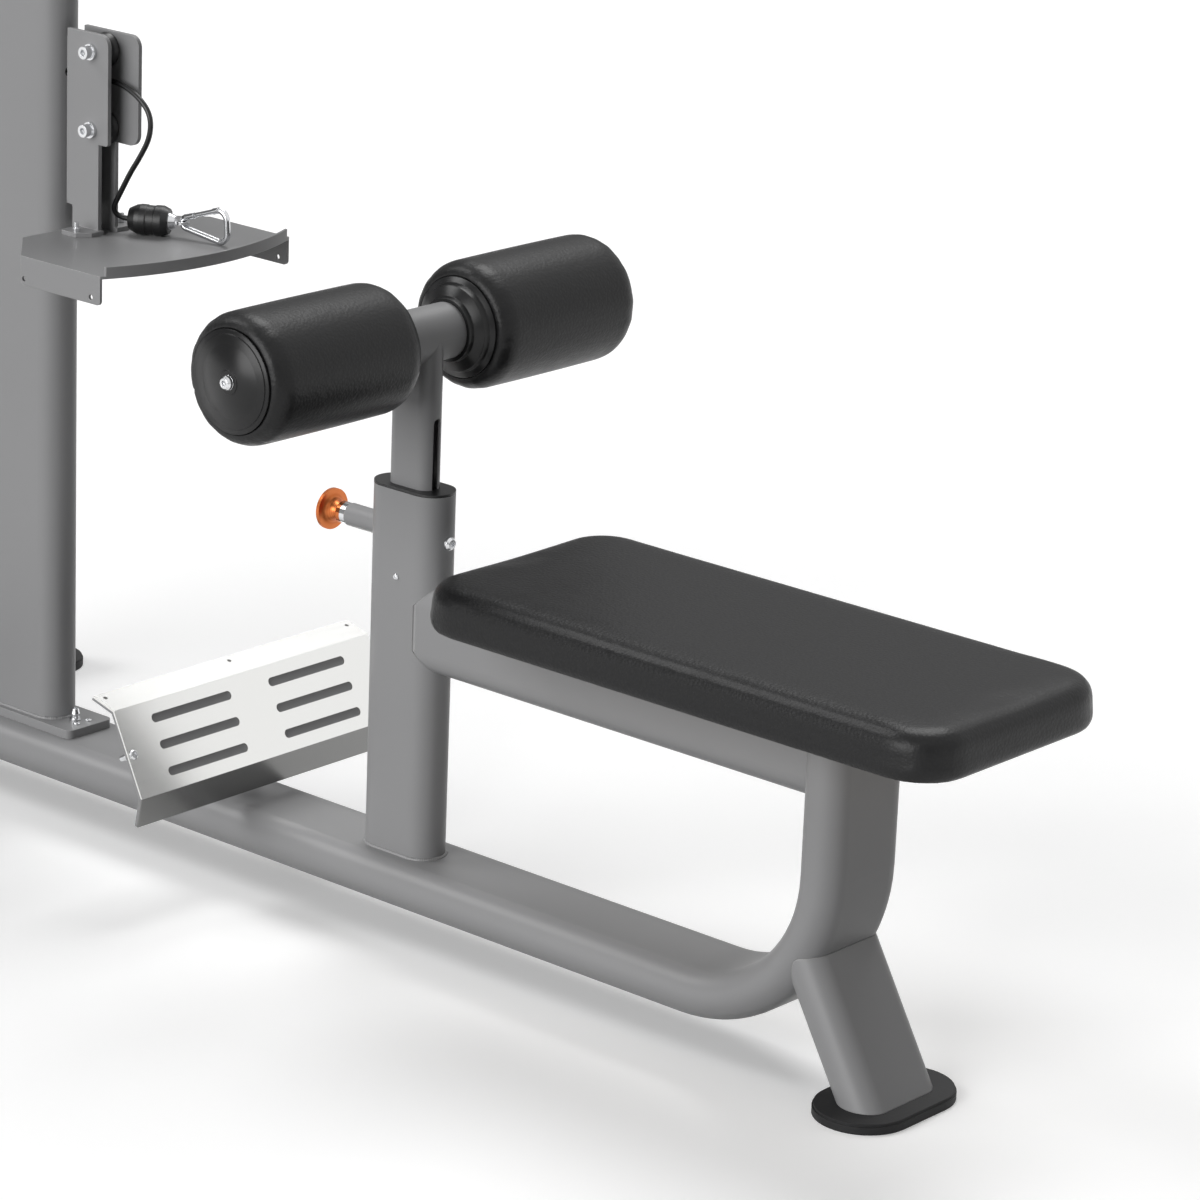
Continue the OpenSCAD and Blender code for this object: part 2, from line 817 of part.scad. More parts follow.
// Foot plate: the fold line in the X-Z plane, from the back of the top flange to the bottom lip
top_rise = 15;
foot_back = 11;
function step_path() =
    let (p1 = [post_x - step_run, step_z],
        p0 = p1 + step_top_l * [-cos(top_rise), sin(top_rise)],
        p2 = p1 + tread_l * [sin(tread_lean), -cos(tread_lean)],
        p3 = p2 + step_foot_l * [-sin(foot_back), -cos(foot_back)])
    [p0, p1, p2, p3];

// The same line moved t behind itself, with mitred folds
function behind(p, t) = [for (i = [0 : len(p) - 1])
    let (d0 = unit(p[max(i, 1)] - p[max(i, 1) - 1]), d1 = unit(p[min(i + 1, 3)] - p[min(i + 1, 3) - 1]),
        n0 = [d0[1], -d0[0]], n1 = [d1[1], -d1[0]])
    p[i] + t * (n0 + n1) / (1 + n0 * n1)];

function backwards(p) = [for (i = [len(p) - 1 : -1 : 0]) p[i]];

module folded_sheet(from, t) {
    along_y(-step_w / 2, step_w) polygon(concat(behind(step_path(), from), backwards(behind(step_path(), from + t))));
}

tread_bolt_y = step_w / 2 - 7;
tread_bolt_at = 51;
tread_bolt_d = 6;

module tread_bolt_holes() {
    for (s = [-1, 1]) tread_place(s * tread_bolt_y, tread_bolt_at)
        translate([0, 0, -20]) cylinder(h = 40, d = tread_bolt_d + hole_play);
}

// A place on the tread's front face, y across and down the slope, with +Z out of the face
module tread_place(y, down) {
    p = step_path()[1] + down * [sin(tread_lean), -cos(tread_lean)];
    translate([p[0], y, p[1]]) rotate([0, 90 - tread_lean, 0]) children();
}

module footplate() {
    slot_l = 119.5;
    slot_h = 10;
    slot_in = 29;
    color(bright) difference() {
        folded_sheet(0, tread_t);
        for (s = [-1, 1], down = [20, 50, 80]) tread_place(s * (slot_in + slot_l / 2), down)
            translate([0, 0, -10]) linear_extrude(20) rotate(90) oval(slot_l, slot_h);
        for (y = [-step_w / 2 + 10, 0, step_w / 2 - 10]) translate([step_path()[0][0] + 9, y, step_z - 10])
            cylinder(h = 40, d = 5);
        tread_bolt_holes();
    }
}

module footplate_backing() {
    color(paint) difference() {
        folded_sheet(tread_t, backing_t);
        tread_bolt_holes();
    }
}

// Two plate legs from the rail's top to the back of the tread
module footplate_legs() {
    leg_t = 6;
    leg_y = 26;
    leg_d = 22;
    back = behind(step_path(), tread_t + backing_t);
    slope = unit(back[2] - back[1]);
    high = back[1] + 30 * slope;
    low = back[1] + 78 * slope;
    heel = back[0][0] + 8;
    color(paint) for (s = [-1, 1]) along_y(s * leg_y - (s < 0 ? leg_t : 0), leg_t)
        polygon([[heel, rail_top], [heel + leg_d, rail_top], [heel + leg_d, low[1] - 16], low, high, [heel, high[1]]]);
}

module column() {
    slot_low = link_z - pulley_r - 15;
    slot_high = link_z + pulley_r + 12;
    slot_half = pulley_w / 2 + 2;
    back = column_x - column_w / 2;
    color(paint) difference() {
        column_bar(0, 0);
        column_bar(tube_wall, cut);
        boom_bar(0, 0);
        rod_x(column_x, column_face + cut, 0, row_z, 14);
        rod_x(back - cut, column_face + cut, 0, high_z + wrap_r, 16);
        translate([back - cut, -slot_half, slot_low]) cube([30, 2 * slot_half, slot_high - slot_low]);
        rod_y(0, tube_t, column_pulley_x, column_pulley_z, axle_d + hole_play);
    }
}

module column_base_plate() {
    r = 8;
    color(paint) difference() {
        translate([0, 0, rail_top]) linear_extrude(base_plate_t)
            round_rect([plate_back, -base_plate_half], [plate_front, base_plate_half], r);
        for (x = base_bolt_x) rod_z(rail_top - cut, rail_top + 20, x, 0, base_bolt_d + hole_play);
        for (y = [-base_pin_y, base_pin_y])
            rod_z(rail_top - cut, rail_top + 20, plate_front - 14, y, base_pin_d + hole_play);
    }
}

base_bolt_d = 8;
base_bolt_x = [column_face + 12, plate_back + 26];
base_pin_d = 5;
base_pin_y = 9;
shelf_bolt_y = 34;
shelf_bolt_d = 5;
shelf_bolt_x = bracket_x + 36;

// Bolts of the frame: column foot, shelf, tread and the top of the guide rods
module frame_bolts() {
    plate_z = rail_top + base_plate_t;
    foot_z = shelf_z + bracket_t;
    color(chrome) {
        for (x = base_bolt_x) {
            rod_z(rail_top + gap, plate_z + 12, x, 0, base_bolt_d);
            rod_z(plate_z, plate_z + 2, x, 0, 1.7 * base_bolt_d);
            translate([x, 0, plate_z + 2]) screw_head(1.3 * base_bolt_d, 12);
        }
        for (y = [-base_pin_y, base_pin_y]) {
            rod_z(rail_top + gap, plate_z + 1, plate_front - 14, y, base_pin_d);
            translate([plate_front - 14, y, plate_z]) screw_head(8, 2);
        }
        for (s = [-1, 1]) {
            y = s * shelf_bolt_y;
            rod_z(shelf_z - shelf_t - 9, foot_z + 10, shelf_bolt_x, y, shelf_bolt_d);
            rod_z(shelf_z - shelf_t - 6, shelf_z - shelf_t, shelf_bolt_x, y, 1.7 * shelf_bolt_d);
            rod_z(foot_z, foot_z + 4, shelf_bolt_x, y, 1.7 * shelf_bolt_d);
            tread_place(s * tread_bolt_y, tread_bolt_at) {
                translate([0, 0, -20]) cylinder(h = 20.5, d = tread_bolt_d);
                screw_head(11, 3);
                translate([0, 0, -tread_t - backing_t - 5]) cylinder(h = 5, d = 10);
            }
            rod_z(rod_top - 20, rod_top + rod_plate_t + 1, stack_x + s * rod_gap / 2, 0, 8);
            translate([stack_x + s * rod_gap / 2, 0, rod_top + rod_plate_t]) screw_head(16, 7);
        }
    }
}

// One bracket plate's outline in the X-Z plane; reach is how far its upper part comes forward
module bracket_outline(reach, low_r = 0) {
    step_up = bracket_top - 122;
    notch_z = shelf_z + 27;
    difference() {
        union() {
            translate([bracket_x + 9, shelf_z]) square([neck_reach - 9, bracket_top - shelf_z]);
            translate([bracket_x, notch_z + 12]) square([reach / 2, bracket_top - notch_z - 12]);
            round_rect([bracket_x, notch_z], [bracket_x + 30, notch_z + 30], 7);
            round_rect([bracket_x + 14, step_up], [bracket_x + reach, bracket_top], 13);
            if (low_r > 0) round_rect([bracket_x + 14, step_up], [bracket_x + reach, step_up + 40], low_r);
        }
        for (z = bolt_drop) translate([guide_x, z]) circle(d = guide_bolt_d + hole_play);
    }
}

guide_bolt_d = 10;

module row_bracket() {
    foot_out = 27;
    web_x = column_face - tube_r;
    web_low = shelf_z + 24;
    web_high = bracket_top - 12;
    web_t = 10;
    color(paint) difference() {
        union() {
            along_y(-plate_y - bracket_t, bracket_t) bracket_outline(near_reach, 3);
            along_y(plate_y, bracket_t) bracket_outline(far_reach);
            for (s = [-1, 1]) translate([0, 0, shelf_z]) linear_extrude(bracket_t)
                foot_outline(s, plate_y, plate_y + bracket_t + foot_out);
            translate([bracket_x + 3, -plate_y, web_low]) cube([13, bracket_gap, web_high - web_low]);
            translate([web_x, -web_t / 2, web_low]) cube([bracket_x + 6 - web_x, web_t, web_high - web_low]);
        }
        column_bar(0, 0);
        rod_x(web_x, guide_x, 0, row_z, cable_d + 4);
        for (s = [-1, 1]) rod_z(shelf_z - cut, shelf_z + 2 * bracket_t, shelf_bolt_x, s * shelf_bolt_y,
            shelf_bolt_d + hole_play);
    }
}

// Foot flange in plan, on side s, with its outer front corner cut off
module foot_outline(s, from, to) {
    back = bracket_x + 18;
    front = bracket_x + 54;
    polygon([[back, s * from], [front, s * from], [front, s * (to - 14)], [front - 11, s * to], [back + 3, s * to],
        [back, s * (to - 3)]]);
}

module shelf() {
    lip_h = 10;
    lip_half = shelf_half - 6;
    centre = shelf_front - shelf_r;
    chamfer = shelf_half - 57;
    flange_end = centre + sqrt(shelf_r * shelf_r - shelf_half * shelf_half);
    color(paint) difference() {
        union() {
            translate([0, 0, shelf_z - shelf_t]) linear_extrude(shelf_t) intersection() {
                polygon([[shelf_back, -chamfer], [shelf_side, -shelf_half], [shelf_front, -shelf_half],
                    [shelf_front, shelf_half], [shelf_side, shelf_half], [shelf_back, chamfer]]);
                translate([centre, 0]) circle(shelf_r, $fn = 256);
            }
            intersection() {
                translate([centre, 0, shelf_z - shelf_t]) difference() {
                    cylinder(h = shelf_t + lip_h, r = shelf_r, $fn = 256);
                    translate([0, 0, -cut]) cylinder(h = shelf_t + lip_h + 2 * cut, r = shelf_r - shelf_t, $fn = 256);
                }
                translate([shelf_side, -lip_half, 0]) cube([200, 2 * lip_half, machine_h]);
            }
            for (y = [-shelf_half, shelf_half - shelf_t]) along_y(y, shelf_t)
                difference() {
                    round_rect([shelf_side, shelf_z - flange_h], [flange_end, shelf_z + 6], 5);
                    translate([shelf_side - cut, shelf_z - shelf_t / 2]) square([300, 20]);
                }
        }
        for (x = [shelf_side + 5, shelf_side + 110]) rod_y(-shelf_half - cut, shelf_half + cut, x,
            shelf_z - flange_h + 7, 6);
        for (s = [-1, 1]) rod_z(shelf_z - 20, shelf_z + cut, shelf_bolt_x, s * shelf_bolt_y, shelf_bolt_d + hole_play);
    }
}

module tower_base() {
    color(paint) difference() {
        union() {
            cross_bar(0, 0);
            translate([0, 0, rail_mid]) along_x(rear_face, cross_x - rear_face) oval(rail_w, tube_t);
            for (s = [-1, 1]) translate([cross_x, s * pad_y, pad_t]) linear_extrude(foot_plate_t)
                rotate(90) oval(pad_l - 20, pad_w - 20);
        }
        cross_bar(tube_wall, cut);
        for (s = [-1, 1]) translate([cross_x, s * cross_l / 2, cross_mid]) rotate([-90 * s, 0, 0])
            linear_extrude(end_cap_t + cut) rotate(90) oval(cross_h + hole_play, tube_t + hole_play);
        translate([0, 0, rail_mid]) difference() {
            along_x(rear_face - cut, cross_x - rear_face) oval(rail_w - 2 * tube_wall, tube_t - 2 * tube_wall);
            translate([0, 0, -rail_mid]) cross_bar(0, 0);
        }
    }
}

module rear_upright() {
    color(paint) difference() {
        upright_bar(rear_x, upright_w, rail_top, boom_z);
        upright_bar(rear_x, upright_w, rail_top - cut, boom_z, tube_wall);
        boom_bar(0, 0);
    }
}

module boom() {
    color(paint) difference() {
        boom_bar(0, 0);
        boom_bar(tube_wall, cut);
    }
}

// Plug and lid of a tube's end cap: section l by w, standing at z = 0 and reaching into -Z
module tube_cap(l, w) {
    plug = 14;
    fit = 2 * tube_wall + 2 * hole_play;
    color(black) {
        linear_extrude(end_cap_t) oval(l, w);
        translate([0, 0, -plug]) linear_extrude(plug + cut) oval(l - fit, w - fit);
    }
}

module end_caps() {
    translate([rear_face, 0, rail_mid]) rotate([0, -90, 0]) rotate(90) tube_cap(rail_w, tube_t);
    translate([rear_face, 0, boom_z]) rotate([0, -90, 0]) tube_cap(boom_h, tube_t);
    translate([boom_front, 0, boom_z]) rotate([0, 90, 0]) tube_cap(boom_h, tube_t);
    for (s = [-1, 1]) translate([cross_x, s * cross_l / 2, cross_mid]) rotate([-90 * s, 0, 0])
        rotate(90) tube_cap(cross_h, tube_t);
}

bracket_plate_t = 5;
bracket_z = machine_h - 25;

module top_brackets() {
    color(paint) for (y = [-tube_r - bracket_plate_t, tube_r]) {
        along_y(y, bracket_plate_t) difference() {
            round_rect([stack_x - 55, link_z - 50], [column_x + 30, bracket_z], 20);
            translate([stack_x, high_z]) circle(d = axle_d + hole_play);
            for (x = [link_a_x, link_b_x]) translate([x, link_z]) circle(d = axle_d + hole_play);
        }
        along_y(y, bracket_plate_t) difference() {
            round_rect([front_x - 50, high_z - 50], [front_x + 50, bracket_z], 20);
            translate([front_x, high_z]) circle(d = axle_d + hole_play);
        }
    }
}

module pulley_bolts() {
    half = tube_r + bracket_plate_t;
    color(chrome) {
        axle_bolt(front_x, high_z, half, tube_r);
        axle_bolt(stack_x, high_z, half, tube_r);
        axle_bolt(link_a_x, link_z, half, tube_r);
        axle_bolt(link_b_x, link_z, half, tube_r);
        column_axle();
        for (z = bolt_drop) guide_bolt(z);
    }
}

// Axle bolt from the column's far side, its point against the near wall's inside
module column_axle() {
    from = pulley_w / 2 + gap;
    seat = tube_r - tube_wall;
    head = tube_r + 10;
    rod_y(-seat, head, column_pulley_x, column_pulley_z, axle_d);
    rod_y(tube_r, head, column_pulley_x, column_pulley_z, 1.6 * axle_d);
    for (s = [-1, 1]) rod_y(s > 0 ? from : -seat, s > 0 ? seat : -from, column_pulley_x, column_pulley_z, 1.5 * axle_d);
}

// Socket-head bolt with a collar, through the row bracket
module guide_bolt(z) {
    out = plate_y + bracket_t;
    rod_y(-out - cut, out + 8, guide_x, z, guide_bolt_d);
    for (s = [-1, 1]) rod_y(s > 0 ? out : -out - 4, s > 0 ? out + 8 : -out, guide_x, z, 18);
    difference() {
        rod_y(-out - 13, -out - 3, guide_x, z, 14);
        translate([guide_x, -out - 14, z]) rotate([-90, 0, 0]) cylinder(h = 5, d = 8, $fn = 6);
    }
}

module rod_plates() {
    half = tube_r - 1;
    color(paint) {
        difference() {
            translate([stack_x - weight_l / 2, -base_plate_half, rail_top])
                cube([weight_l, 2 * base_plate_half, floor_plate_t]);
        }
        difference() {
            translate([rear_x, -half, rod_top]) cube([column_x - rear_x, 2 * half, rod_plate_t]);
            upright_bar(rear_x, upright_w, rod_top - cut, rod_top + 2 * rod_plate_t);
            upright_bar(column_x, column_w, rod_top - cut, rod_top + 2 * rod_plate_t);
            for (s = [-1, 1]) {
                rod_z(rod_top - cut, rod_top + 20, stack_x + s * wrap_r, 0, 2 * cable_d);
                rod_z(rod_top - cut, rod_top + 20, stack_x + s * rod_gap / 2, 0, 8 + hole_play);
            }
        }
    }
}

module stack_bumpers() {
    color(black) for (s = [-1, 1]) translate([stack_x + s * rod_gap / 2, 0, rail_top + floor_plate_t])
        difference() {
            cylinder(h = bumper_h, d = 2 * rod_d);
            translate([0, 0, -cut]) cylinder(h = bumper_h + 2 * cut, d = rod_d + 2 * run);
        }
}

module guide_rods() {
    color(chrome) for (s = [-1, 1]) difference() {
        rod_z(rail_top + floor_plate_t, rod_top, stack_x + s * rod_gap / 2, 0, rod_d);
        rod_z(rod_top - 30, rod_top + cut, stack_x + s * rod_gap / 2, 0, 8 + hole_play);
    }
}

// One weight plate: holes for the rods and the stem, and the selector hole from its -Y side
module weight_plate(z) {
    color(black) difference() {
        translate([0, 0, z]) linear_extrude(weight_t) difference() {
            round_rect([stack_x - weight_l / 2, -weight_w / 2], [stack_x + weight_l / 2, weight_w / 2], 8);
            for (s = [-1, 1]) translate([stack_x + s * rod_gap / 2, 0]) circle(d = rod_d + 3);
            translate([stack_x, 0]) circle(d = stem_d + 2);
        }
        rod_y(-weight_w / 2 - cut, 0, stack_x, z + weight_t / 2, 10);
    }
}

module resting_plates() {
    for (i = [0 : resting_n - 1]) weight_plate(bumper_top + i * weight_pitch);
}

module lifted_plates() {
    for (i = [0 : lifted_n - 1]) weight_plate(lifted_z + i * weight_pitch);
}

module top_plate() {
    color(black) translate([0, 0, top_z]) linear_extrude(top_t) difference() {
        round_rect([stack_x - weight_l / 2, -weight_w / 2], [stack_x + weight_l / 2, weight_w / 2], 8);
        for (s = [-1, 1]) translate([stack_x + s * rod_gap / 2, 0]) circle(d = rod_d + 2 * run);
        translate([stack_x, 0]) circle(d = stem_d + 2 * run);
    }
}

// Stem with its selector holes, the clevis on top and the travelling pulley's bolt
module carriage_stem() {
    cheek_t = 6;
    cheek_y = pulley_w / 2 + 1.5;
    cheek_top = travel_z + 18;
    color(chrome) {
        difference() {
            rod_z(bumper_top + 6, clevis_z + cut, stack_x, 0, stem_d);
            for (i = [0 : resting_n + lifted_n - 1])
                rod_y(-stem_d, stem_d, stack_x, bumper_top + i * weight_pitch + weight_t / 2, selector_d + 2 * run);
        }
        translate([stack_x - 30, -cheek_y - cheek_t, clevis_z]) cube([60, 2 * (cheek_y + cheek_t), clevis_t]);
        for (y = [-cheek_y - cheek_t, cheek_y]) along_y(y, cheek_t)
            round_rect([stack_x - 25, clevis_z], [stack_x + 25, cheek_top], 6);
        axle_bolt(stack_x, travel_z, cheek_y + cheek_t, cheek_y);
    }
}

selector_d = 8;

module selector_pin() {
    head_y = -weight_w / 2 - 2;
    color("#b3261e") rod_y(head_y - 24, head_y, stack_x, selector_z, 28);
    color(chrome) rod_y(head_y - cut, stem_d / 2 - 1, stack_x, selector_z, selector_d);
}

// Grooved pulley on an axle along Y
module pulley(x, z) {
    half = pulley_w / 2;
    web = half - 4;
    groove = cable_r + gap;
    color(black) translate([x, 0, z]) rotate([90, 0, 0]) rotate_extrude() difference() {
        polygon([[axle_r + run, -half], [17, -half], [19, -web], [31, -web], [33, -half], [pulley_r, -half],
            [pulley_r, half], [33, half], [31, web], [19, web], [17, half], [axle_r + run, half]]);
        translate([wrap_r, 0]) circle(groove);
        polygon([[wrap_r, -groove], [pulley_r + cut, -half + 3], [pulley_r + cut, half - 3], [wrap_r, groove]]);
    }
}

module front_pulley() {
    pulley(front_x, high_z);
}

module rear_pulley() {
    pulley(stack_x, high_z);
}

module travel_pulley() {
    pulley(stack_x, travel_z);
}

module link_pulley_a() {
    pulley(link_a_x, link_z);
}

module link_pulley_b() {
    pulley(link_b_x, link_z);
}

module column_pulley() {
    pulley(column_pulley_x, column_pulley_z);
}

module exit_roller(z) {
    half = plate_y - gap;
    color(black) translate([guide_x, 0, z]) rotate([90, 0, 0]) rotate_extrude()
        polygon([[guide_bolt_d / 2 + run, -half], [guide_r - 1, -half], [guide_r, -half + 1.5], [guide_r - 1.5, -3],
            [guide_r - 1.5, 3], [guide_r, half - 1.5], [guide_r - 1, half], [guide_bolt_d / 2 + run, half]]);
}

module exit_roller_upper() {
    exit_roller(bolt_drop[0]);
}

module exit_roller_lower() {
    exit_roller(bolt_drop[1]);
}

// Arc of cable round (x, z), from angle a through turn degrees in the X-Z plane
module cable_arc(x, z, a, turn) {
    translate([x, 0, z]) rotate([90, 0, 0]) rotate([0, 0, a]) rotate_extrude(angle = turn)
        translate([wrap_r, 0]) circle(cable_r);
}

module cable_held() {
    top = high_z + wrap_r;
    color(black) {
        cable_arc(front_x, high_z, 0, 90);
        rod_x(stack_x, front_x, 0, top, cable_d);
        cable_arc(stack_x, high_z, 90, 90);
        rod_z(link_z, high_z, fall_x, 0, cable_d);
        cable_arc(link_a_x, link_z, 90, 90);
        rod_x(link_a_x, link_b_x, 0, link_z + wrap_r, cable_d);
        cable_arc(link_b_x, link_z, 0, 90);
        rod_z(column_pulley_z, link_z, column_run_x, 0, cable_d);
        cable_arc(column_pulley_x, column_pulley_z, 180, 90);
        rod_x(column_pulley_x, outlet[0], 0, row_z, cable_d);
    }
}

module cable_stack_runs() {
    color(black) for (x = [fall_x, rise_x]) rod_z(travel_z, link_z, x, 0, cable_d);
}

module cable_travel() {
    color(black) cable_arc(stack_x, travel_z, 180, 180);
}

module lat_cable_drop() {
    color(black) rod_z(lat_z, high_z, drop_x, 0, cable_d);
}

module row_cable_tail() {
    color(black) translate(outlet) swept_tube(tail_route, tail_start, tail_end, [0, 1, 0], cable_r, tail_sides);
}

// Grooved rubber stopper from z = 0 to stopper_l, tapered at both ends
module stopper() {
    r = stopper_r;
    color(black) rotate_extrude() polygon([[0, 0], [r - 5, 0], [r - 1, 8], [r, 13], [r, 20], [r - 0.8, 21],
        [r - 0.8, 29], [r, 30], [r, 38], [r - 3, stopper_l], [0, stopper_l]]);
}

module row_stopper() {
    translate(tail_tip) rotate([0, 0, tail_turn]) rotate([0, 90, 0]) stopper();
}

// The hook's rod in its own plane: a round nose through the eye and two far corners
nose_r = (hook_nose_w - hook_d) / 2;
far_x = hook_l - hook_d - hook_corner;
far_rise = (hook_w - hook_d) / 2 - hook_corner;
hook_span = norm([far_x - nose_r, far_rise]);
side_turn = acos((hook_corner - nose_r) / hook_span) + atan2(far_rise, far_x - nose_r);
side_normal = [cos(side_turn), sin(side_turn)];
nose_top = [nose_r, 0] + nose_r * side_normal;
far_top = [far_x, far_rise] + hook_corner * side_normal;
side_way = unit(nose_top - far_top);
// Tilt at which the far corner just clears the shelf
hook_tilt = asin((hook_w / 2 + gap - stopper_r) / far_x);

// Hook plane: +X from the eye to the hook's far end, +Y up
module hook_frame() {
    translate(tail_tip + (stopper_l + eye_reach) * tail_end) rotate([0, -hook_tilt, hook_turn])
        rotate([90, 0, 0]) children();
}

// A straight of the hook; seam turns the round bar's seam away from that of the bend beside it
module hook_bar(from, to, d, seam = 0) {
    way = to - from;
    translate([from[0], from[1], 0]) rotate([0, 0, atan2(way[1], way[0])]) rotate([0, 90, 0])
        rotate([0, 0, seam]) cylinder(h = norm(way), d = d);
}

module hook_arc(x, y, r, a, turn) {
    translate([x, y, 0]) rotate([0, 0, a]) rotate_extrude(angle = turn) translate([r, 0]) circle(d = hook_d);
}

// Along the gate: origin at its pivot, +X towards the hook's far end
module gate_frame() {
    pivot = nose_top - gate_pivot * side_way;
    translate([pivot[0], pivot[1], 0]) rotate([0, 0, atan2(-side_way[1], -side_way[0])]) children();
}

// Chrome ferrule with its flat eye, and the hook's open rod, slotted at its end for the gate
module row_hook() {
    low_nose = [nose_top[0], -nose_top[1]];
    low_far = [far_top[0], -far_top[1]];
    // The last bend runs this many degrees into the straights beside it, so that they fuse
    fuse_turn = 0.02;
    slot_half = tongue_t / 2 + gap;
    fork_end = 2.4;
    color(chrome) {
        translate(tail_tip + stopper_l * tail_end) rotate([0, 0, tail_turn]) rotate([0, 90, 0]) ferrule(eye_reach);
        hook_frame() {
            difference() {
                union() {
                    hook_arc(nose_r, 0, nose_r, side_turn, 360 - 2 * side_turn);
                    hook_bar(low_nose, low_far, hook_d, 30);
                    hook_arc(far_x, -far_rise, hook_corner, -side_turn, side_turn);
                    hook_bar([far_x + hook_corner, -far_rise], [far_x + hook_corner, far_rise], hook_d);
                    hook_arc(far_x, far_rise, hook_corner, -fuse_turn, side_turn + 2 * fuse_turn);
                    hook_bar(far_top, far_top + gate_seat * side_way, hook_d);
                    hook_bar(nose_top, nose_top - (gate_pivot + fork_end) * side_way, hook_d, 30);
                }
                gate_frame() translate([-4.5, -hook_d, -slot_half]) cube([10, 2 * hook_d, 2 * slot_half]);
            }
            gate_frame() translate([0, 0, -slot_half - 0.8]) cylinder(h = 2 * slot_half + 1.6, d = pivot_d);
        }
    }
}

// Ferrule from z = 0, with a flat eye whose hole runs along the local X axis
module ferrule(reach) {
    eye_t = 3.4;
    difference() {
        union() {
            cylinder(h = reach - ferrule_r, r1 = ferrule_r + 2, r2 = ferrule_r - 1);
            translate([-eye_t / 2, 0, reach]) rotate([0, 90, 0]) cylinder(h = eye_t, r = ferrule_r);
            translate([-eye_t / 2, 2 - ferrule_r, 2]) cube([eye_t, 2 * ferrule_r - 4, reach - 2]);
        }
        translate([0, 0, reach]) rotate([0, 90, 0]) cylinder(h = 40, r = hook_d / 2 + 1.3, center = true);
    }
}

module row_gate() {
    length = norm(nose_top - far_top) - gate_pivot - gate_seat - gap;
    color(chrome) hook_frame() gate_frame() difference() {
        union() {
            translate([4, 0, 0]) rotate([0, 90, 0]) cylinder(h = length - 4, d = gate_d);
            translate([0, -1.8, -tongue_t / 2]) cube([6, 3.6, tongue_t]);
            translate([0, 0, -tongue_t / 2]) cylinder(h = tongue_t, r = 2.4);
        }
        translate([0, 0, -tongue_t]) cylinder(h = 2 * tongue_t, d = pivot_d + 2 * run);
    }
}

module lat_stopper() {
    color(black) translate([drop_x, 0, lat_z]) rotate([180, 0, 0]) stopper();
    low = lat_z - stopper_l - lat_ferrule_l;
    color(chrome) difference() {
        translate([drop_x, 0, low]) cylinder(h = lat_ferrule_l, r = ferrule_r + 3);
        translate([drop_x, 0, low - cut]) cylinder(h = 8 + cut, r = swivel_r + run);
        translate([drop_x, 0, low + 8 - cut]) cylinder(h = 8 + cut, r = swivel_r + 3);
    }
}

swivel_r = 5;

// Swivel eye, link, lug and the steel bar with its bent ends
module lat_bar() {
    low = lat_z - stopper_l - lat_ferrule_l;
    color(chrome) {
        difference() {
            union() {
                rod_z(link_top, low + 12, drop_x, 0, 2 * swivel_r);
                rod_z(low + 8 + gap, low + 12, drop_x, 0, 2 * swivel_r + 4);
                rod_y(-3, 3, drop_x, link_top, 2 * eye_r);
            }
            rod_y(-10, 10, drop_x, link_top, link_d + 2);
        }
        lat_link();
        lat_rod();
        difference() {
            union() {
                rod_y(-lug_t / 2, lug_t / 2, drop_x, link_top - link_l, 2 * lug_r);
                translate([drop_x - lug_r, -lug_t / 2, lat_bar_z]) cube([2 * lug_r, lug_t, link_top - link_l - lat_bar_z]);
            }
            rod_y(-10, 10, drop_x, link_top - link_l, link_d + 2);
            rod_y(-10, 10, drop_x, lat_bar_z, lat_d - 2);
        }
    }
}

// Chain link in the Y-Z plane between the swivel eye and the lug
module lat_link() {
    run_l = link_l - 2 * link_r;
    translate([drop_x, 0, link_top - link_r]) {
        rotate([90, 0, 90]) rotate_extrude(angle = 180) translate([link_r, 0]) circle(d = link_d);
        translate([0, 0, -run_l]) rotate([-90, 0, 90]) rotate_extrude(angle = 180) translate([link_r, 0]) circle(d = link_d);
        for (s = [-1, 1]) rod_z(-run_l, 0, 0, s * link_r, link_d);
    }
}

module lat_rod() {
    rod_y(-lat_half, lat_half, drop_x, lat_bar_z, lat_d);
    for (s = [-1, 1]) lat_end(s) {
        rotate([90, 0, 90]) rotate([0, 0, 90 - lat_bend]) rotate_extrude(angle = lat_bend)
            translate([lat_bend_r, 0]) circle(d = lat_d);
        lat_slope() cylinder(h = grip_l + 10, d = lat_d);
    }
}

// Centre of the bend at one end of the bar, turned round for side -1
module lat_end(s) {
    translate([drop_x, 0, lat_bar_z - lat_bend_r]) rotate([0, 0, s < 0 ? 180 : 0]) translate([0, lat_half, 0]) children();
}

// Start of the sloping end, with +Z along it
module lat_slope() {
    rotate([-lat_bend, 0, 0]) translate([0, 0, lat_bend_r]) rotate([-90, 0, 0]) children();
}

module lat_grips() {
    shell = 14;
    color(black) for (s = [-1, 1]) lat_end(s) lat_slope() difference() {
        translate([0, 0, 10]) cylinder(h = grip_l + 3, d = grip_d);
        translate([0, 0, 10 - cut]) cylinder(h = grip_l + cut + gap, d = lat_d + 2 * run);
    }
}

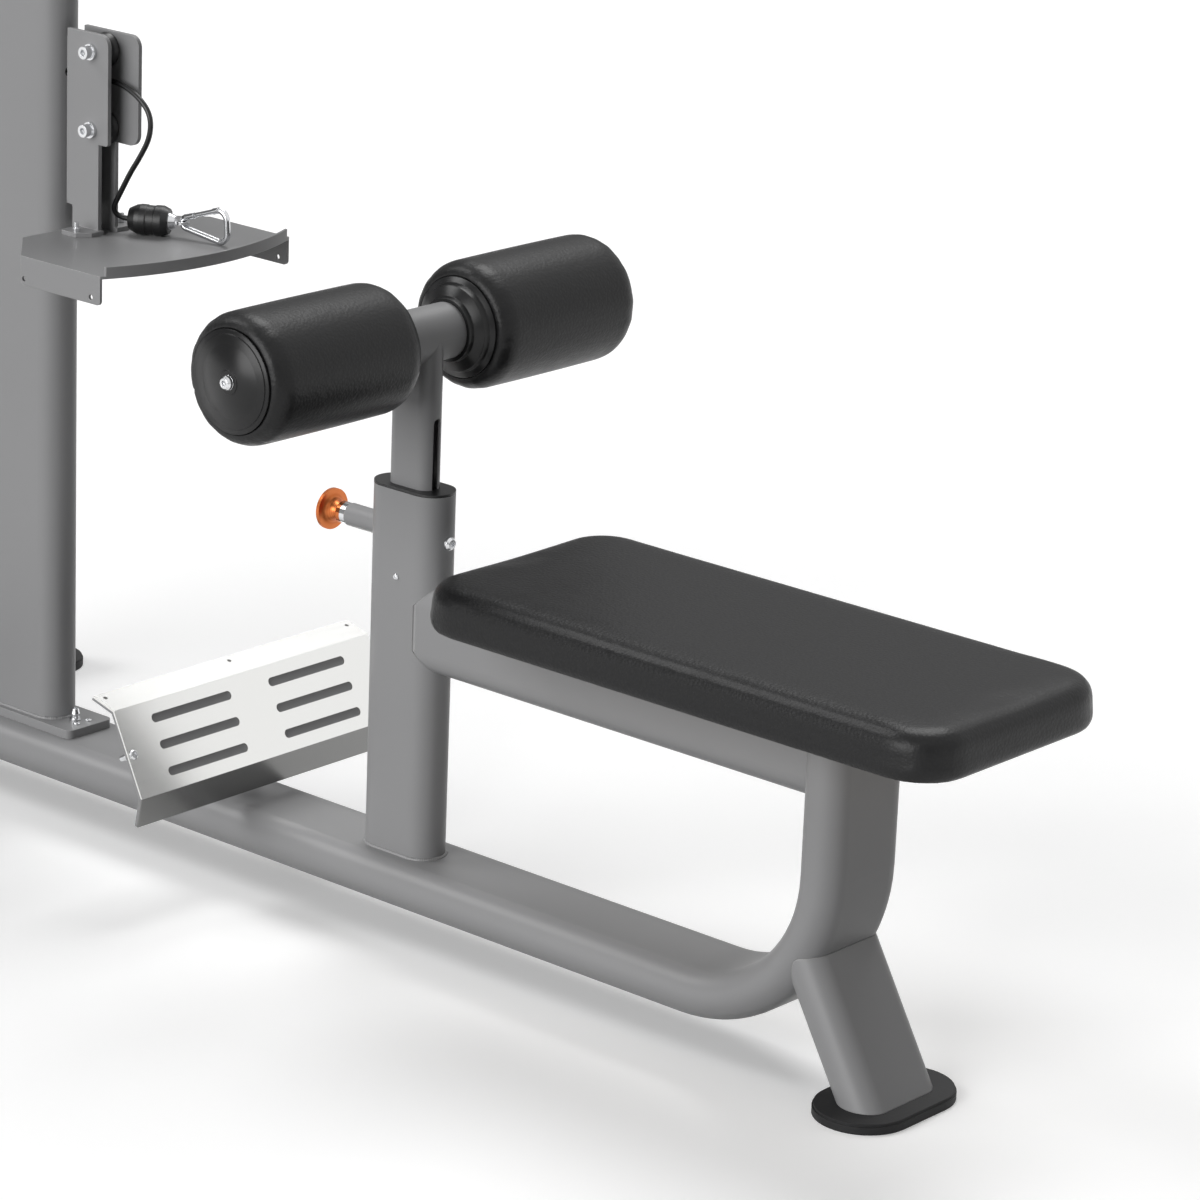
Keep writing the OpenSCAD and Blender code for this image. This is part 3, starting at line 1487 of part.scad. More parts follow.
base_rail();
rear_leg();
foot_pads();
front_post();
post_bushes();
post_fittings();
pin_housing();
pin_spring();
seat_beam();
seat_plates();
seat_board();
seat_cushion();
seat_screws();
footplate();
footplate_backing();
footplate_legs();
column();
column_base_plate();
frame_bolts();
row_bracket();
shelf();
tower_base();
rear_upright();
boom();
end_caps();
top_brackets();
pulley_bolts();
rod_plates();
stack_bumpers();
guide_rods();
resting_plates();
cable_held();
cable_stack_runs();
lat_cable_drop();
row_cable_tail();
row_stopper();
row_hook();
row_gate();
thigh_post();
roller_caps();
left_roller();
right_roller();
pull_pin();
top_plate();
carriage_stem();
lifted_plates();
cable_travel();
selector_pin();
front_pulley();
rear_pulley();
travel_pulley();
link_pulley_a();
link_pulley_b();
column_pulley();
exit_roller_upper();
exit_roller_lower();
lat_stopper();
lat_bar();
lat_grips();
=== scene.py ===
import math
import bmesh
import bpy
import numpy as np
from mathutils import Matrix, Vector, noise


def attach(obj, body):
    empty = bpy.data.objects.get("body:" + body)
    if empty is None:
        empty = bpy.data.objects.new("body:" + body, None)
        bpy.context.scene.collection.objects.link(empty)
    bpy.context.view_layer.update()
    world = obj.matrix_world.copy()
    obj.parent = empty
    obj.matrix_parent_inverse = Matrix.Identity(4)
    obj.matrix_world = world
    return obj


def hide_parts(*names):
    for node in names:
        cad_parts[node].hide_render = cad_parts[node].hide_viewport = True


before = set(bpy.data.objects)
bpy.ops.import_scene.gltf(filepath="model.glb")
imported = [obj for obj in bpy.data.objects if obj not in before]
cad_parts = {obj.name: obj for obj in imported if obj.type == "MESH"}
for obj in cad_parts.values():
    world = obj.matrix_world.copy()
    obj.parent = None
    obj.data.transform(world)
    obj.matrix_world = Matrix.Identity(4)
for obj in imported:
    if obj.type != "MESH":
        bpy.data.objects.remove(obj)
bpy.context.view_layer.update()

# Camera: it stands off the seat's near corner, a little above the rollers, with a long lens. Its
# place and turn come from the tubes' edges, ends and bolts in the photograph.
camera_lens = bpy.data.cameras.new("camera")
camera_lens.sensor_width = 36
camera_lens.lens = 141.53
camera = bpy.data.objects.new("camera", camera_lens)
to_right = Vector((0.75195321, 0.65812019, 0.03800237))
to_top = Vector((-0.22859183, 0.20624496, 0.95142461))
looking = Vector((-0.61831395, 0.72411383, -0.30552746))
camera_place = Vector((3.3962, -3.4869, 1.9039))
camera_turn = Matrix((to_right, to_top, -looking)).transposed().to_4x4()
camera.matrix_world = Matrix.Translation(camera_place) @ camera_turn
bpy.context.scene.collection.objects.link(camera)
bpy.context.scene.camera = camera

# Row cable's free end: 6 mm steel cable in a black nylon coat. It leaves the outlet between the
# two guide rollers, bends down beside the bracket and lies in its stopper on the shelf.
MM = 0.001
cable_thick = 6 * MM
outlet = Vector((-313, 0, 852)) * MM
tail_route = [
    (0, 0, 0), (20, 0, -2), (38, 0, -8), (53, 0, -17), (62, 0, -27), (65, 0, -40), (60, 1, -57),
    (47, 2, -77), (31, 3, -98), (15, 4, -122), (5.5, 4.5, -137), (3, 5.5, -143), (3, 8, -148.5),
    (6, 12, -152.5), (11, 15.5, -154), (15, 18, -154),
]


def smooth_line(points, between):
    """A line of points through the given ones, rounded between them."""
    line = []
    padded_ends = [points[0] * 2 - points[1], *points, points[-1] * 2 - points[-2]]
    for a, b, c, d in zip(padded_ends, padded_ends[1:], padded_ends[2:], padded_ends[3:]):
        for step in range(between):
            t = step / between
            line.append(0.5 * (2 * b + (c - a) * t + (2 * a - 5 * b + 4 * c - d) * t**2
                               + (3 * b - a - 3 * c + d) * t**3))
    return line + [points[-1]]


tail_line = smooth_line([outlet + Vector(point) * MM for point in tail_route], between=6)
tail_curve = bpy.data.curves.new("row_cable", "CURVE")
tail_curve.dimensions = "3D"
tail_curve.bevel_depth = cable_thick / 2
tail_curve.bevel_resolution = 5
tail_curve.use_fill_caps = True
tail_spline = tail_curve.splines.new("POLY")
tail_spline.points.add(len(tail_line) - 1)
for spline_point, place in zip(tail_spline.points, tail_line):
    spline_point.co = (*place, 1)


def srgb(hex_colour):
    """Linear red, green, blue and alpha of an sRGB hex value."""
    parts = [int(hex_colour[i:i + 2], 16) / 255 for i in (1, 3, 5)]
    return (*[p / 12.92 if p <= 0.04045 else ((p + 0.055) / 1.055) ** 2.4 for p in parts], 1)


def add_node(tree, kind, settings=None, inputs=None):
    """A node of that kind, with its settings, and its inputs as values or as links."""
    made = tree.nodes.new(kind)
    for name, value in (settings or {}).items():
        setattr(made, name, value)
    for name, value in (inputs or {}).items():
        if isinstance(value, bpy.types.NodeSocket):
            tree.links.new(value, made.inputs[name])
        else:
            made.inputs[name].default_value = value
    return made


def open_finish(finish):
    """A material's tree, its Principled shader and the piece's Object coordinates."""
    tree = finish.node_tree
    shader = next(node for node in tree.nodes if node.type == "BSDF_PRINCIPLED")
    return tree, shader, add_node(tree, "ShaderNodeTexCoord").outputs["Object"]


def start_finish(name, **sockets):
    """A new material with its uniform values set, and what open_finish gives."""
    finish = bpy.data.materials.new(name)
    finish.use_nodes = True
    tree, shader, place = open_finish(finish)
    for socket, value in sockets.items():
        shader.inputs[socket.replace("_", " ")].default_value = value
    return finish, tree, shader, place


def copy_finish(finish, name):
    """A copy of a material to change further, and what open_finish gives."""
    copied = finish.copy()
    copied.name = name
    return copied, *open_finish(copied)


# Nylon extruded over the strands: nearly smooth and glossy, with a faint lay of strands under it.
nylon_coat, tree, shader, place = start_finish("extruded_nylon_cable_coat", Roughness=0.28)
strand_lay = add_node(tree, "ShaderNodeTexNoise",
                      inputs={"Vector": place, "Scale": 1 / (3 * MM), "Detail": 2.0})
nylon_tint = add_node(tree, "ShaderNodeMix", {"data_type": "RGBA"},
                      {0: strand_lay.outputs["Fac"], 6: srgb("#070708"), 7: srgb("#101011")})
tree.links.new(nylon_tint.outputs[2], shader.inputs["Base Color"])
lay_bump = add_node(tree, "ShaderNodeBump",
                    inputs={"Height": strand_lay.outputs["Fac"], "Distance": 0.1 * MM,
                            "Strength": 0.5})
tree.links.new(lay_bump.outputs["Normal"], shader.inputs["Normal"])
tail_curve.materials.append(nylon_coat)


def dress(finish, *nodes):
    """Gives CAD nodes their finish."""
    for name in nodes:
        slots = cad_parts[name].data.materials
        slots.clear()
        slots.append(finish)


def add_piece(name, shape, body):
    """An object for a finished mesh or curve, on its body."""
    piece = bpy.data.objects.new(name, shape)
    bpy.context.scene.collection.objects.link(piece)
    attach(piece, body)
    return piece


dress(nylon_coat, "cable_held", "lat_cable_drop", "cable_travel")
row_cable = add_piece("row_cable", tail_curve, "frame")
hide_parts("row_cable_tail")

# Stack cable: its two runs down to the travelling pulley shorten as the stack rises. They are cut
# where the pulley's lift ends, and the part below rides up with the stack, inside the part above.
stack_lift = 0.5
sliding_room = 0.1 * MM
whole_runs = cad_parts["cable_stack_runs"]
cut_height = min(vertex.co.z for vertex in whole_runs.data.vertices) + stack_lift
for part, body, thinner in (("upper", "frame", 0.0), ("lower", "stack", sliding_room)):
    runs = bmesh.new()
    runs.from_mesh(whole_runs.data)
    bmesh.ops.remove_doubles(runs, verts=runs.verts, dist=0.01 * MM)
    bmesh.ops.bisect_plane(runs, geom=runs.verts[:] + runs.edges[:] + runs.faces[:],
                           plane_co=(0, 0, cut_height), plane_no=(0, 0, 1),
                           clear_inner=part == "upper", clear_outer=part == "lower")
    bmesh.ops.holes_fill(runs, edges=[edge for edge in runs.edges if edge.is_boundary])
    bmesh.ops.recalc_face_normals(runs, faces=runs.faces)
    runs.normal_update()
    for vertex, normal in [(vertex, vertex.normal.copy()) for vertex in runs.verts]:
        vertex.co -= normal * thinner
    runs_mesh = bpy.data.meshes.new("stack_cable_" + part)
    runs.to_mesh(runs_mesh)
    runs.free()
    runs_mesh.shade_smooth()
    runs_mesh.materials.append(nylon_coat)
    piece = add_piece("stack_cable_" + part, runs_mesh, body)
    if part == "upper":
        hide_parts("cable_stack_runs")

# Studio: a white floor without an edge and three soft lamps: one overhead and a little behind the
# machine, one low at the user's left hand, and a weak one high behind that shoulder for the edges.
# Seen directly, the surroundings are white.
floor_half = 40
floor_mesh = bpy.data.meshes.new("studio_floor")
floor_corners = [(x * floor_half, y * floor_half, 0)
                 for x, y in ((-1, -1), (1, -1), (1, 1), (-1, 1))]
floor_mesh.from_pydata(floor_corners, [], [(0, 1, 2, 3)])
studio_floor = bpy.data.objects.new("studio_floor", floor_mesh)
bpy.context.scene.collection.objects.link(studio_floor)


def seen_ray(tree):
    """1 for rays that show the surroundings: straight, reflected or through glass."""
    light_path = add_node(tree, "ShaderNodeLightPath").outputs
    beside_glass = add_node(tree, "ShaderNodeMath", {"operation": "MAXIMUM"},
                            {0: light_path["Is Camera Ray"], 1: light_path["Is Glossy Ray"]})
    return add_node(tree, "ShaderNodeMath", {"operation": "MAXIMUM"},
                    {0: beside_glass.outputs[0], 1: light_path["Is Transmission Ray"]}).outputs[0]


floor_lift = 0.16
floor_paint = bpy.data.materials.new("matt_white_studio_paint")
floor_paint.use_nodes = True
tree = floor_paint.node_tree
tree.nodes.clear()
seen_white = add_node(tree, "ShaderNodeBsdfDiffuse", inputs={"Color": srgb("#ffffff")})
seen_lift = add_node(tree, "ShaderNodeEmission", inputs={"Strength": floor_lift})
seen_floor = add_node(tree, "ShaderNodeAddShader",
                      inputs={0: seen_white.outputs[0], 1: seen_lift.outputs[0]})
bounced = add_node(tree, "ShaderNodeBsdfDiffuse", inputs={"Color": srgb("#808080")})
floor_mix = add_node(tree, "ShaderNodeMixShader",
                     inputs={0: seen_ray(tree), 1: bounced.outputs[0], 2: seen_floor.outputs[0]})
add_node(tree, "ShaderNodeOutputMaterial", inputs={"Surface": floor_mix.outputs[0]})
floor_mesh.materials.append(floor_paint)

# Metal sees a white softbox on one side, which fades to grey; plain surfaces get a weak even fill
softbox_way = (0.55, 0.35, 0.76)
softbox_rim, softbox_core = 0.1, 0.75
dim_side, even_fill = 0.3, 0.12
studio_air = bpy.data.worlds.new("studio_air")
studio_air.use_nodes = True
tree = studio_air.node_tree
tree.nodes.clear()
to_softbox = add_node(tree, "ShaderNodeVectorMath", {"operation": "DOT_PRODUCT"},
                      {0: add_node(tree, "ShaderNodeTexCoord").outputs["Generated"],
                       1: softbox_way})
softbox_glow = add_node(tree, "ShaderNodeMapRange",
                        inputs={"Value": to_softbox.outputs["Value"], "From Min": softbox_rim,
                                "From Max": softbox_core, "To Min": dim_side, "To Max": 1.0})
air_path = add_node(tree, "ShaderNodeLightPath").outputs
seen_level = add_node(tree, "ShaderNodeMath", {"operation": "MAXIMUM"},
                      {0: air_path["Is Camera Ray"], 1: softbox_glow.outputs[0]})
air_level = add_node(tree, "ShaderNodeMix", {"data_type": "FLOAT"},
                     {0: seen_ray(tree), 2: even_fill, 3: seen_level.outputs[0]})
air_white = add_node(tree, "ShaderNodeBackground", inputs={"Strength": air_level.outputs[0]})
air_white.inputs["Color"].default_value = (1, 1, 1, 1)
add_node(tree, "ShaderNodeOutputWorld", inputs={"Surface": air_white.outputs[0]})
bpy.context.scene.world = studio_air
bpy.context.scene.view_settings.view_transform = "Standard"


def hang_lamp(name, towards, strength, spread):
    """A soft far lamp on that side of the machine; its spread is in degrees."""
    lamp = bpy.data.lights.new(name, "SUN")
    lamp.energy = strength
    lamp.angle = math.radians(spread)
    holder = bpy.data.objects.new(name, lamp)
    holder.rotation_euler = Vector(towards).to_track_quat("Z", "Y").to_euler()
    bpy.context.scene.collection.objects.link(holder)


hang_lamp("overhead_softbox", towards=(-0.25, 0.45, 1.0), strength=1.5, spread=35)
hang_lamp("side_softbox", towards=(-0.05, -1.0, 0.25), strength=2.7, spread=50)
hang_lamp("edge_light", towards=(-0.62, -0.3, 0.7), strength=0.8, spread=26)

# Painted frame: flat-oval and round steel tubes and laser-cut plates, welded and powder coated in
# mid-grey satin with a faint orange peel. Sharp edges carry a painted highlight: their grey is
# lighter.
powder_coat, tree, shader, place = start_finish("satin_grey_powder_coat_on_steel")
coat_cloud = add_node(tree, "ShaderNodeTexNoise",
                      inputs={"Vector": place, "Scale": 1 / (300 * MM), "Detail": 3.0})
coat_grey = add_node(tree, "ShaderNodeMix", {"data_type": "RGBA"},
                     {0: coat_cloud.outputs["Fac"], 6: srgb("#868687"), 7: srgb("#909091")})
soft_edge = add_node(tree, "ShaderNodeBevel", {"samples": 4}, {"Radius": 1.2 * MM})
true_face = add_node(tree, "ShaderNodeNewGeometry")
edge_flat = add_node(tree, "ShaderNodeVectorMath", {"operation": "DOT_PRODUCT"},
                     {0: soft_edge.outputs["Normal"], 1: true_face.outputs["Normal"]})
# Painted highlight: near sharp edges the coat's grey is mixed towards a light grey
painted_highlight_amount = add_node(tree, "ShaderNodeMapRange",
                     inputs={"Value": edge_flat.outputs["Value"], "From Min": 0.99, "From Max": 0.8,
                             "To Max": 0.55})
coat_grey_with_painted_edge_highlight = add_node(tree, "ShaderNodeMix", {"data_type": "RGBA"},
                     {0: painted_highlight_amount.outputs[0], 6: coat_grey.outputs[2], 7: srgb("#c4c4c4")})
tree.links.new(coat_grey_with_painted_edge_highlight.outputs[2], shader.inputs["Base Color"])
# Real orange peel is 1 to 2 mm across; it is drawn at 2.5 mm so that it shows at all
orange_peel = add_node(tree, "ShaderNodeTexNoise",
                       inputs={"Vector": place, "Scale": 1 / (2.5 * MM), "Detail": 1.0})
peel_bump = add_node(tree, "ShaderNodeBump",
                     inputs={"Height": orange_peel.outputs["Fac"], "Distance": 0.05 * MM,
                             "Strength": 0.5, "Normal": soft_edge.outputs["Normal"]})
tree.links.new(peel_bump.outputs["Normal"], shader.inputs["Normal"])
coat_gloss = add_node(tree, "ShaderNodeMapRange",
                      inputs={"Value": coat_cloud.outputs["Fac"], "To Min": 0.38, "To Max": 0.46})
tree.links.new(coat_gloss.outputs[0], shader.inputs["Roughness"])
dress(powder_coat, "base_rail", "rear_leg", "front_post", "pin_housing", "seat_beam", "seat_plates",
      "footplate_backing", "footplate_legs", "column", "column_base_plate", "row_bracket", "shelf",
      "tower_base", "rear_upright", "boom", "top_brackets", "rod_plates", "thigh_post")

# Weld beads: MIG fillets round the feet of the post and of both columns, under the same coat.
# Each ripple of the bead is one flattened drop, 2.4 mm after the last.
tube_deep = 0.05
# Each foot's middle along the rail, its width, and the height of its bead
welded_feet = (
    (0.157, 0.1, 0.091),     # front post, on the rail
    (-0.45, 0.15, 0.101),    # column, on its base plate
    (-0.916, 0.075, 0.091),  # rear upright, on the rail
)


def flat_oval(middle, width, depth, height, count):
    """Points round a flat-oval tube's foot, its width along X and its depth along Y."""
    end = depth / 2
    half = width / 2 - end
    outline = []
    for side in (1, -1):
        for step in range(count + 1):
            angle = side * math.pi / 2 - math.pi * step / count
            x = middle + side * half + end * math.cos(angle)
            outline.append((x, end * math.sin(angle), height))
    return outline


weld_mesh = bpy.data.meshes.new("weld_lines")
weld_points, weld_edges = [], []
for middle, width, height in welded_feet:
    first = len(weld_points)
    outline = flat_oval(middle, width, tube_deep, height, count=24)
    weld_points += outline
    weld_edges += [(first + i, first + (i + 1) % len(outline)) for i in range(len(outline))]
weld_mesh.from_pydata(weld_points, weld_edges, [])


def start_shape_tree(name, sizes):
    """A Geometry Nodes tree with named inputs for its sizes, and what those inputs give."""
    tree = bpy.data.node_groups.new(name, "GeometryNodeTree")
    tree.interface.new_socket("Geometry", in_out="INPUT", socket_type="NodeSocketGeometry")
    for size in sizes:
        tree.interface.new_socket(size, in_out="INPUT", socket_type="NodeSocketFloat")
    tree.interface.new_socket("Geometry", in_out="OUTPUT", socket_type="NodeSocketGeometry")
    return tree, tree.nodes.new("NodeGroupInput").outputs


def end_shape_tree(tree, geometry, finish):
    """Realizes what the tree made and gives it its finish."""
    real = add_node(tree, "GeometryNodeRealizeInstances", inputs={"Geometry": geometry})
    done = add_node(tree, "GeometryNodeSetMaterial",
                    inputs={"Geometry": real.outputs[0], "Material": finish})
    add_node(tree, "NodeGroupOutput", inputs={0: done.outputs[0]})


def grow(name, mesh, tree, sizes, body):
    """Runs the tree on a mesh's lines and keeps the result as a plain piece."""
    carrier = bpy.data.objects.new(name + "_lines", mesh)
    bpy.context.scene.collection.objects.link(carrier)
    modifier = carrier.modifiers.new("shape", "NODES")
    modifier.node_group = tree
    for socket in tree.interface.items_tree:
        if socket.in_out == "INPUT" and socket.name in sizes:
            modifier[socket.identifier] = sizes[socket.name]
    seen = carrier.evaluated_get(bpy.context.evaluated_depsgraph_get())
    add_piece(name, bpy.data.meshes.new_from_object(seen), body)
    bpy.data.objects.remove(carrier)


bead_tree, bead_in = start_shape_tree("weld_bead", ["Bead Radius", "Pitch"])
bead_curve = add_node(bead_tree, "GeometryNodeMeshToCurve", inputs={"Mesh": bead_in["Geometry"]})
bead_steps = add_node(bead_tree, "GeometryNodeCurveToPoints", {"mode": "LENGTH"},
                      {"Curve": bead_curve.outputs[0], "Length": bead_in["Pitch"]})
bead_drop = add_node(bead_tree, "GeometryNodeMeshUVSphere",
                     inputs={"Segments": 8, "Rings": 6, "Radius": bead_in["Bead Radius"]})
drop_smooth = add_node(bead_tree, "GeometryNodeSetShadeSmooth",
                       inputs={0: bead_drop.outputs["Mesh"]})
beads = add_node(bead_tree, "GeometryNodeInstanceOnPoints",
                 inputs={"Points": bead_steps.outputs["Points"], "Instance": drop_smooth.outputs[0],
                         "Rotation": bead_steps.outputs["Rotation"]})
bead_size = add_node(bead_tree, "FunctionNodeRandomValue", {"data_type": "FLOAT"},
                     {2: 0.88, 3: 1.1, "Seed": 4})
bead_scaled = add_node(bead_tree, "GeometryNodeScaleInstances",
                       inputs={"Instances": beads.outputs[0], "Scale": bead_size.outputs[1]})
end_shape_tree(bead_tree, bead_scaled.outputs[0], powder_coat)
grow("frame_welds", weld_mesh, bead_tree, {"Bead Radius": 2.6 * MM, "Pitch": 2.4 * MM},
     "frame")

# Foot pads, stack bumpers and bar grips: moulded black rubber, dull, with the fine texture of a
# spark-eroded mould. A rounded edge takes the light as a thin line.
rubber, tree, shader, place = start_finish("moulded_black_rubber", Roughness=0.6,
                                           Specular_IOR_Level=0.35)
bloom = add_node(tree, "ShaderNodeTexNoise",
                 inputs={"Vector": place, "Scale": 1 / (50 * MM), "Detail": 4.0})
rubber_black = add_node(tree, "ShaderNodeMix", {"data_type": "RGBA"},
                        {0: bloom.outputs["Fac"], 6: srgb("#141415"), 7: srgb("#202021")})
tree.links.new(rubber_black.outputs[2], shader.inputs["Base Color"])
mould_edge = add_node(tree, "ShaderNodeBevel", {"samples": 4}, {"Radius": 1.5 * MM})
mould_pits = add_node(tree, "ShaderNodeTexNoise",
                      inputs={"Vector": place, "Scale": 1 / (2 * MM), "Detail": 3.0})
pit_bump = add_node(tree, "ShaderNodeBump",
                    inputs={"Height": mould_pits.outputs["Fac"], "Distance": 0.15 * MM,
                            "Strength": 0.6, "Normal": mould_edge.outputs["Normal"]})
tree.links.new(pit_bump.outputs["Normal"], shader.inputs["Normal"])
dress(rubber, "foot_pads", "stack_bumpers", "lat_grips")

# Caps, bushes, pulleys and cable stoppers: injection-moulded black nylon, satin, with a rounded
# edge everywhere that the mould parts.
black_nylon, tree, shader, place = start_finish("moulded_black_nylon")
flow_marks = add_node(tree, "ShaderNodeTexNoise",
                      inputs={"Vector": place, "Scale": 1 / (20 * MM), "Detail": 4.0,
                              "Distortion": 0.6})
nylon_black = add_node(tree, "ShaderNodeMix", {"data_type": "RGBA"},
                       {0: flow_marks.outputs["Fac"], 6: srgb("#0e0e0f"), 7: srgb("#161617")})
tree.links.new(nylon_black.outputs[2], shader.inputs["Base Color"])
nylon_gloss = add_node(tree, "ShaderNodeMapRange",
                       inputs={"Value": flow_marks.outputs["Fac"], "To Min": 0.28, "To Max": 0.44})
tree.links.new(nylon_gloss.outputs[0], shader.inputs["Roughness"])
cap_edge = add_node(tree, "ShaderNodeBevel", {"samples": 4}, {"Radius": 1.2 * MM})
spark_grain = add_node(tree, "ShaderNodeTexNoise",
                       inputs={"Vector": place, "Scale": 1 / (1.5 * MM), "Detail": 2.0})
spark_bump = add_node(tree, "ShaderNodeBump",
                      inputs={"Height": spark_grain.outputs["Fac"], "Distance": 0.04 * MM,
                              "Strength": 0.5, "Normal": cap_edge.outputs["Normal"]})
tree.links.new(spark_bump.outputs["Normal"], shader.inputs["Normal"])
dress(black_nylon, "post_bushes", "end_caps", "front_pulley", "rear_pulley", "travel_pulley",
      "link_pulley_a", "link_pulley_b", "column_pulley", "exit_roller_upper", "exit_roller_lower",
      "row_stopper", "lat_stopper")

# Roller end caps: the same nylon, polished in the mould and a little domed, each held by a plated
# bolt in its middle.
roller_at = Vector((0.157, 0, 0.658))
cap_face = 0.2781
bolt_head_radius = 7.7 * MM
dome_fall = 4.0  # metres for each metre squared from the bolt's axis
plating = srgb("#dcdddf")
cap_gloss, tree, shader, place = copy_finish(black_nylon, "polished_black_nylon_with_plated_bolt")
off_axis = add_node(tree, "ShaderNodeVectorMath", {"operation": "MULTIPLY_ADD"},
                    {0: place, 1: (1, 0, 1), 2: -roller_at})
axis_way = add_node(tree, "ShaderNodeVectorMath", {"operation": "LENGTH"}, {0: off_axis.outputs[0]})
in_bolt = add_node(tree, "ShaderNodeMath", {"operation": "LESS_THAN"},
                   {0: axis_way.outputs["Value"], 1: bolt_head_radius})
along_y = add_node(tree, "ShaderNodeSeparateXYZ", inputs={"Vector": place}).outputs["Y"]
across = add_node(tree, "ShaderNodeMath", {"operation": "ABSOLUTE"}, {0: along_y})
past_cap = add_node(tree, "ShaderNodeMath", {"operation": "GREATER_THAN"},
                    {0: across.outputs[0], 1: cap_face})
bolt_head = add_node(tree, "ShaderNodeMath", {"operation": "MULTIPLY"},
                     {0: in_bolt.outputs[0], 1: past_cap.outputs[0]})
cap_tint = add_node(tree, "ShaderNodeMix", {"data_type": "RGBA"},
                    {0: bolt_head.outputs[0], 6: shader.inputs["Base Color"].links[0].from_socket,
                     7: plating})
tree.links.new(cap_tint.outputs[2], shader.inputs["Base Color"])
tree.links.new(bolt_head.outputs[0], shader.inputs["Metallic"])
cap_dome = add_node(tree, "ShaderNodeMath", {"operation": "POWER"},
                    {0: axis_way.outputs["Value"], 1: 2.0})
dome_bump = add_node(tree, "ShaderNodeBump", {"invert": True},
                     {"Height": cap_dome.outputs[0], "Distance": dome_fall, "Strength": 1.0,
                      "Normal": shader.inputs["Normal"].links[0].from_socket})
tree.links.new(dome_bump.outputs["Normal"], shader.inputs["Normal"])
shader.inputs["Specular IOR Level"].default_value = 0.35
cap_shine = add_node(tree, "ShaderNodeMapRange",
                     inputs={"Value": bolt_head.outputs[0], "To Min": 0.28, "To Max": 0.14})
tree.links.new(cap_shine.outputs[0], shader.inputs["Roughness"])
dress(cap_gloss, "roller_caps")

# Bolts, guide rods, stem, hook and bar: steel, ground and bright chrome plated. Handling leaves
# faint smears that dull the mirror.
chrome, tree, shader, place = start_finish("bright_chrome_plate_on_steel", Metallic=1.0,
                                           Base_Color=plating)
smears = add_node(tree, "ShaderNodeTexNoise",
                  inputs={"Vector": place, "Scale": 1 / (18 * MM), "Detail": 4.0,
                          "Distortion": 1.0})
smear_dull = add_node(tree, "ShaderNodeMapRange",
                      inputs={"Value": smears.outputs["Fac"], "To Min": 0.06, "To Max": 0.22})
tree.links.new(smear_dull.outputs[0], shader.inputs["Roughness"])
bolt_edge = add_node(tree, "ShaderNodeBevel", {"samples": 4}, {"Radius": 0.6 * MM})
tree.links.new(bolt_edge.outputs["Normal"], shader.inputs["Normal"])
dress(chrome, "post_fittings", "seat_screws", "frame_bolts", "pulley_bolts", "guide_rods",
      "carriage_stem", "row_hook", "row_gate", "lat_bar", "pin_spring")

# Tread: stainless sheet, rolled, belt polished along its length and folded. The belt leaves fine
# long scratches across the machine, which stretch its reflections. The lower lip has painted shade.
lip_fold = 0.1385
tread_steel, tree, shader, place = start_finish("belt_polished_stainless_sheet", Metallic=1.0)
along_z = add_node(tree, "ShaderNodeSeparateXYZ", inputs={"Vector": place}).outputs["Z"]
# Painted shade: the lower lip is darker grey, standing in for the shadowed floor that it reflects
on_shaded_lip = add_node(tree, "ShaderNodeMath", {"operation": "LESS_THAN"}, {0: along_z, 1: lip_fold})
steel_tint_with_painted_lip_shade = add_node(tree, "ShaderNodeMix", {"data_type": "RGBA"},
                      {0: on_shaded_lip.outputs[0], 6: srgb("#ececea"), 7: srgb("#8c8c8b")})
tree.links.new(steel_tint_with_painted_lip_shade.outputs[2], shader.inputs["Base Color"])
belt_way = add_node(tree, "ShaderNodeMapping",
                    inputs={"Vector": place, "Scale": [1 / (size * MM) for size in (1.2, 80, 1.2)]})
belt_lines = add_node(tree, "ShaderNodeTexNoise",
                      inputs={"Vector": belt_way.outputs[0], "Scale": 1.0, "Detail": 2.0})
belt_dull = add_node(tree, "ShaderNodeMapRange",
                     inputs={"Value": belt_lines.outputs["Fac"], "To Min": 0.2, "To Max": 0.27})
tree.links.new(belt_dull.outputs[0], shader.inputs["Roughness"])
belt_bump = add_node(tree, "ShaderNodeBump",
                     inputs={"Height": belt_lines.outputs["Fac"], "Distance": 0.01 * MM,
                             "Strength": 0.2})
tree.links.new(belt_bump.outputs["Normal"], shader.inputs["Normal"])
dress(tread_steel, "footplate")

# Pull pin: a turned aluminium knob, anodised copper orange, on a plated steel pin. The tool leaves
# fine rings round the knob.
knob_end = 0.0545
knob_copper, tree, shader, place = start_finish("copper_anodised_turned_aluminium", Metallic=1.0,
                                                Roughness=0.36)
along_x = add_node(tree, "ShaderNodeSeparateXYZ", inputs={"Vector": place}).outputs["X"]
tool_rings = add_node(tree, "ShaderNodeTexWave", {"bands_direction": "X"},
                      {"Vector": place, "Scale": 1 / (6 * MM)})
past_knob = add_node(tree, "ShaderNodeMath", {"operation": "GREATER_THAN"},
                     {0: along_x, 1: knob_end})
ring_tint = add_node(tree, "ShaderNodeMix", {"data_type": "RGBA"},
                     {0: tool_rings.outputs["Fac"], 6: srgb("#c46c3a"), 7: srgb("#d07a48")})
pin_tint = add_node(tree, "ShaderNodeMix", {"data_type": "RGBA"},
                    {0: past_knob.outputs[0], 6: ring_tint.outputs[2], 7: plating})
tree.links.new(pin_tint.outputs[2], shader.inputs["Base Color"])
ring_bump = add_node(tree, "ShaderNodeBump",
                     inputs={"Height": tool_rings.outputs["Fac"], "Distance": 0.01 * MM,
                             "Strength": 0.15})
tree.links.new(ring_bump.outputs["Normal"], shader.inputs["Normal"])
dress(knob_copper, "pull_pin")

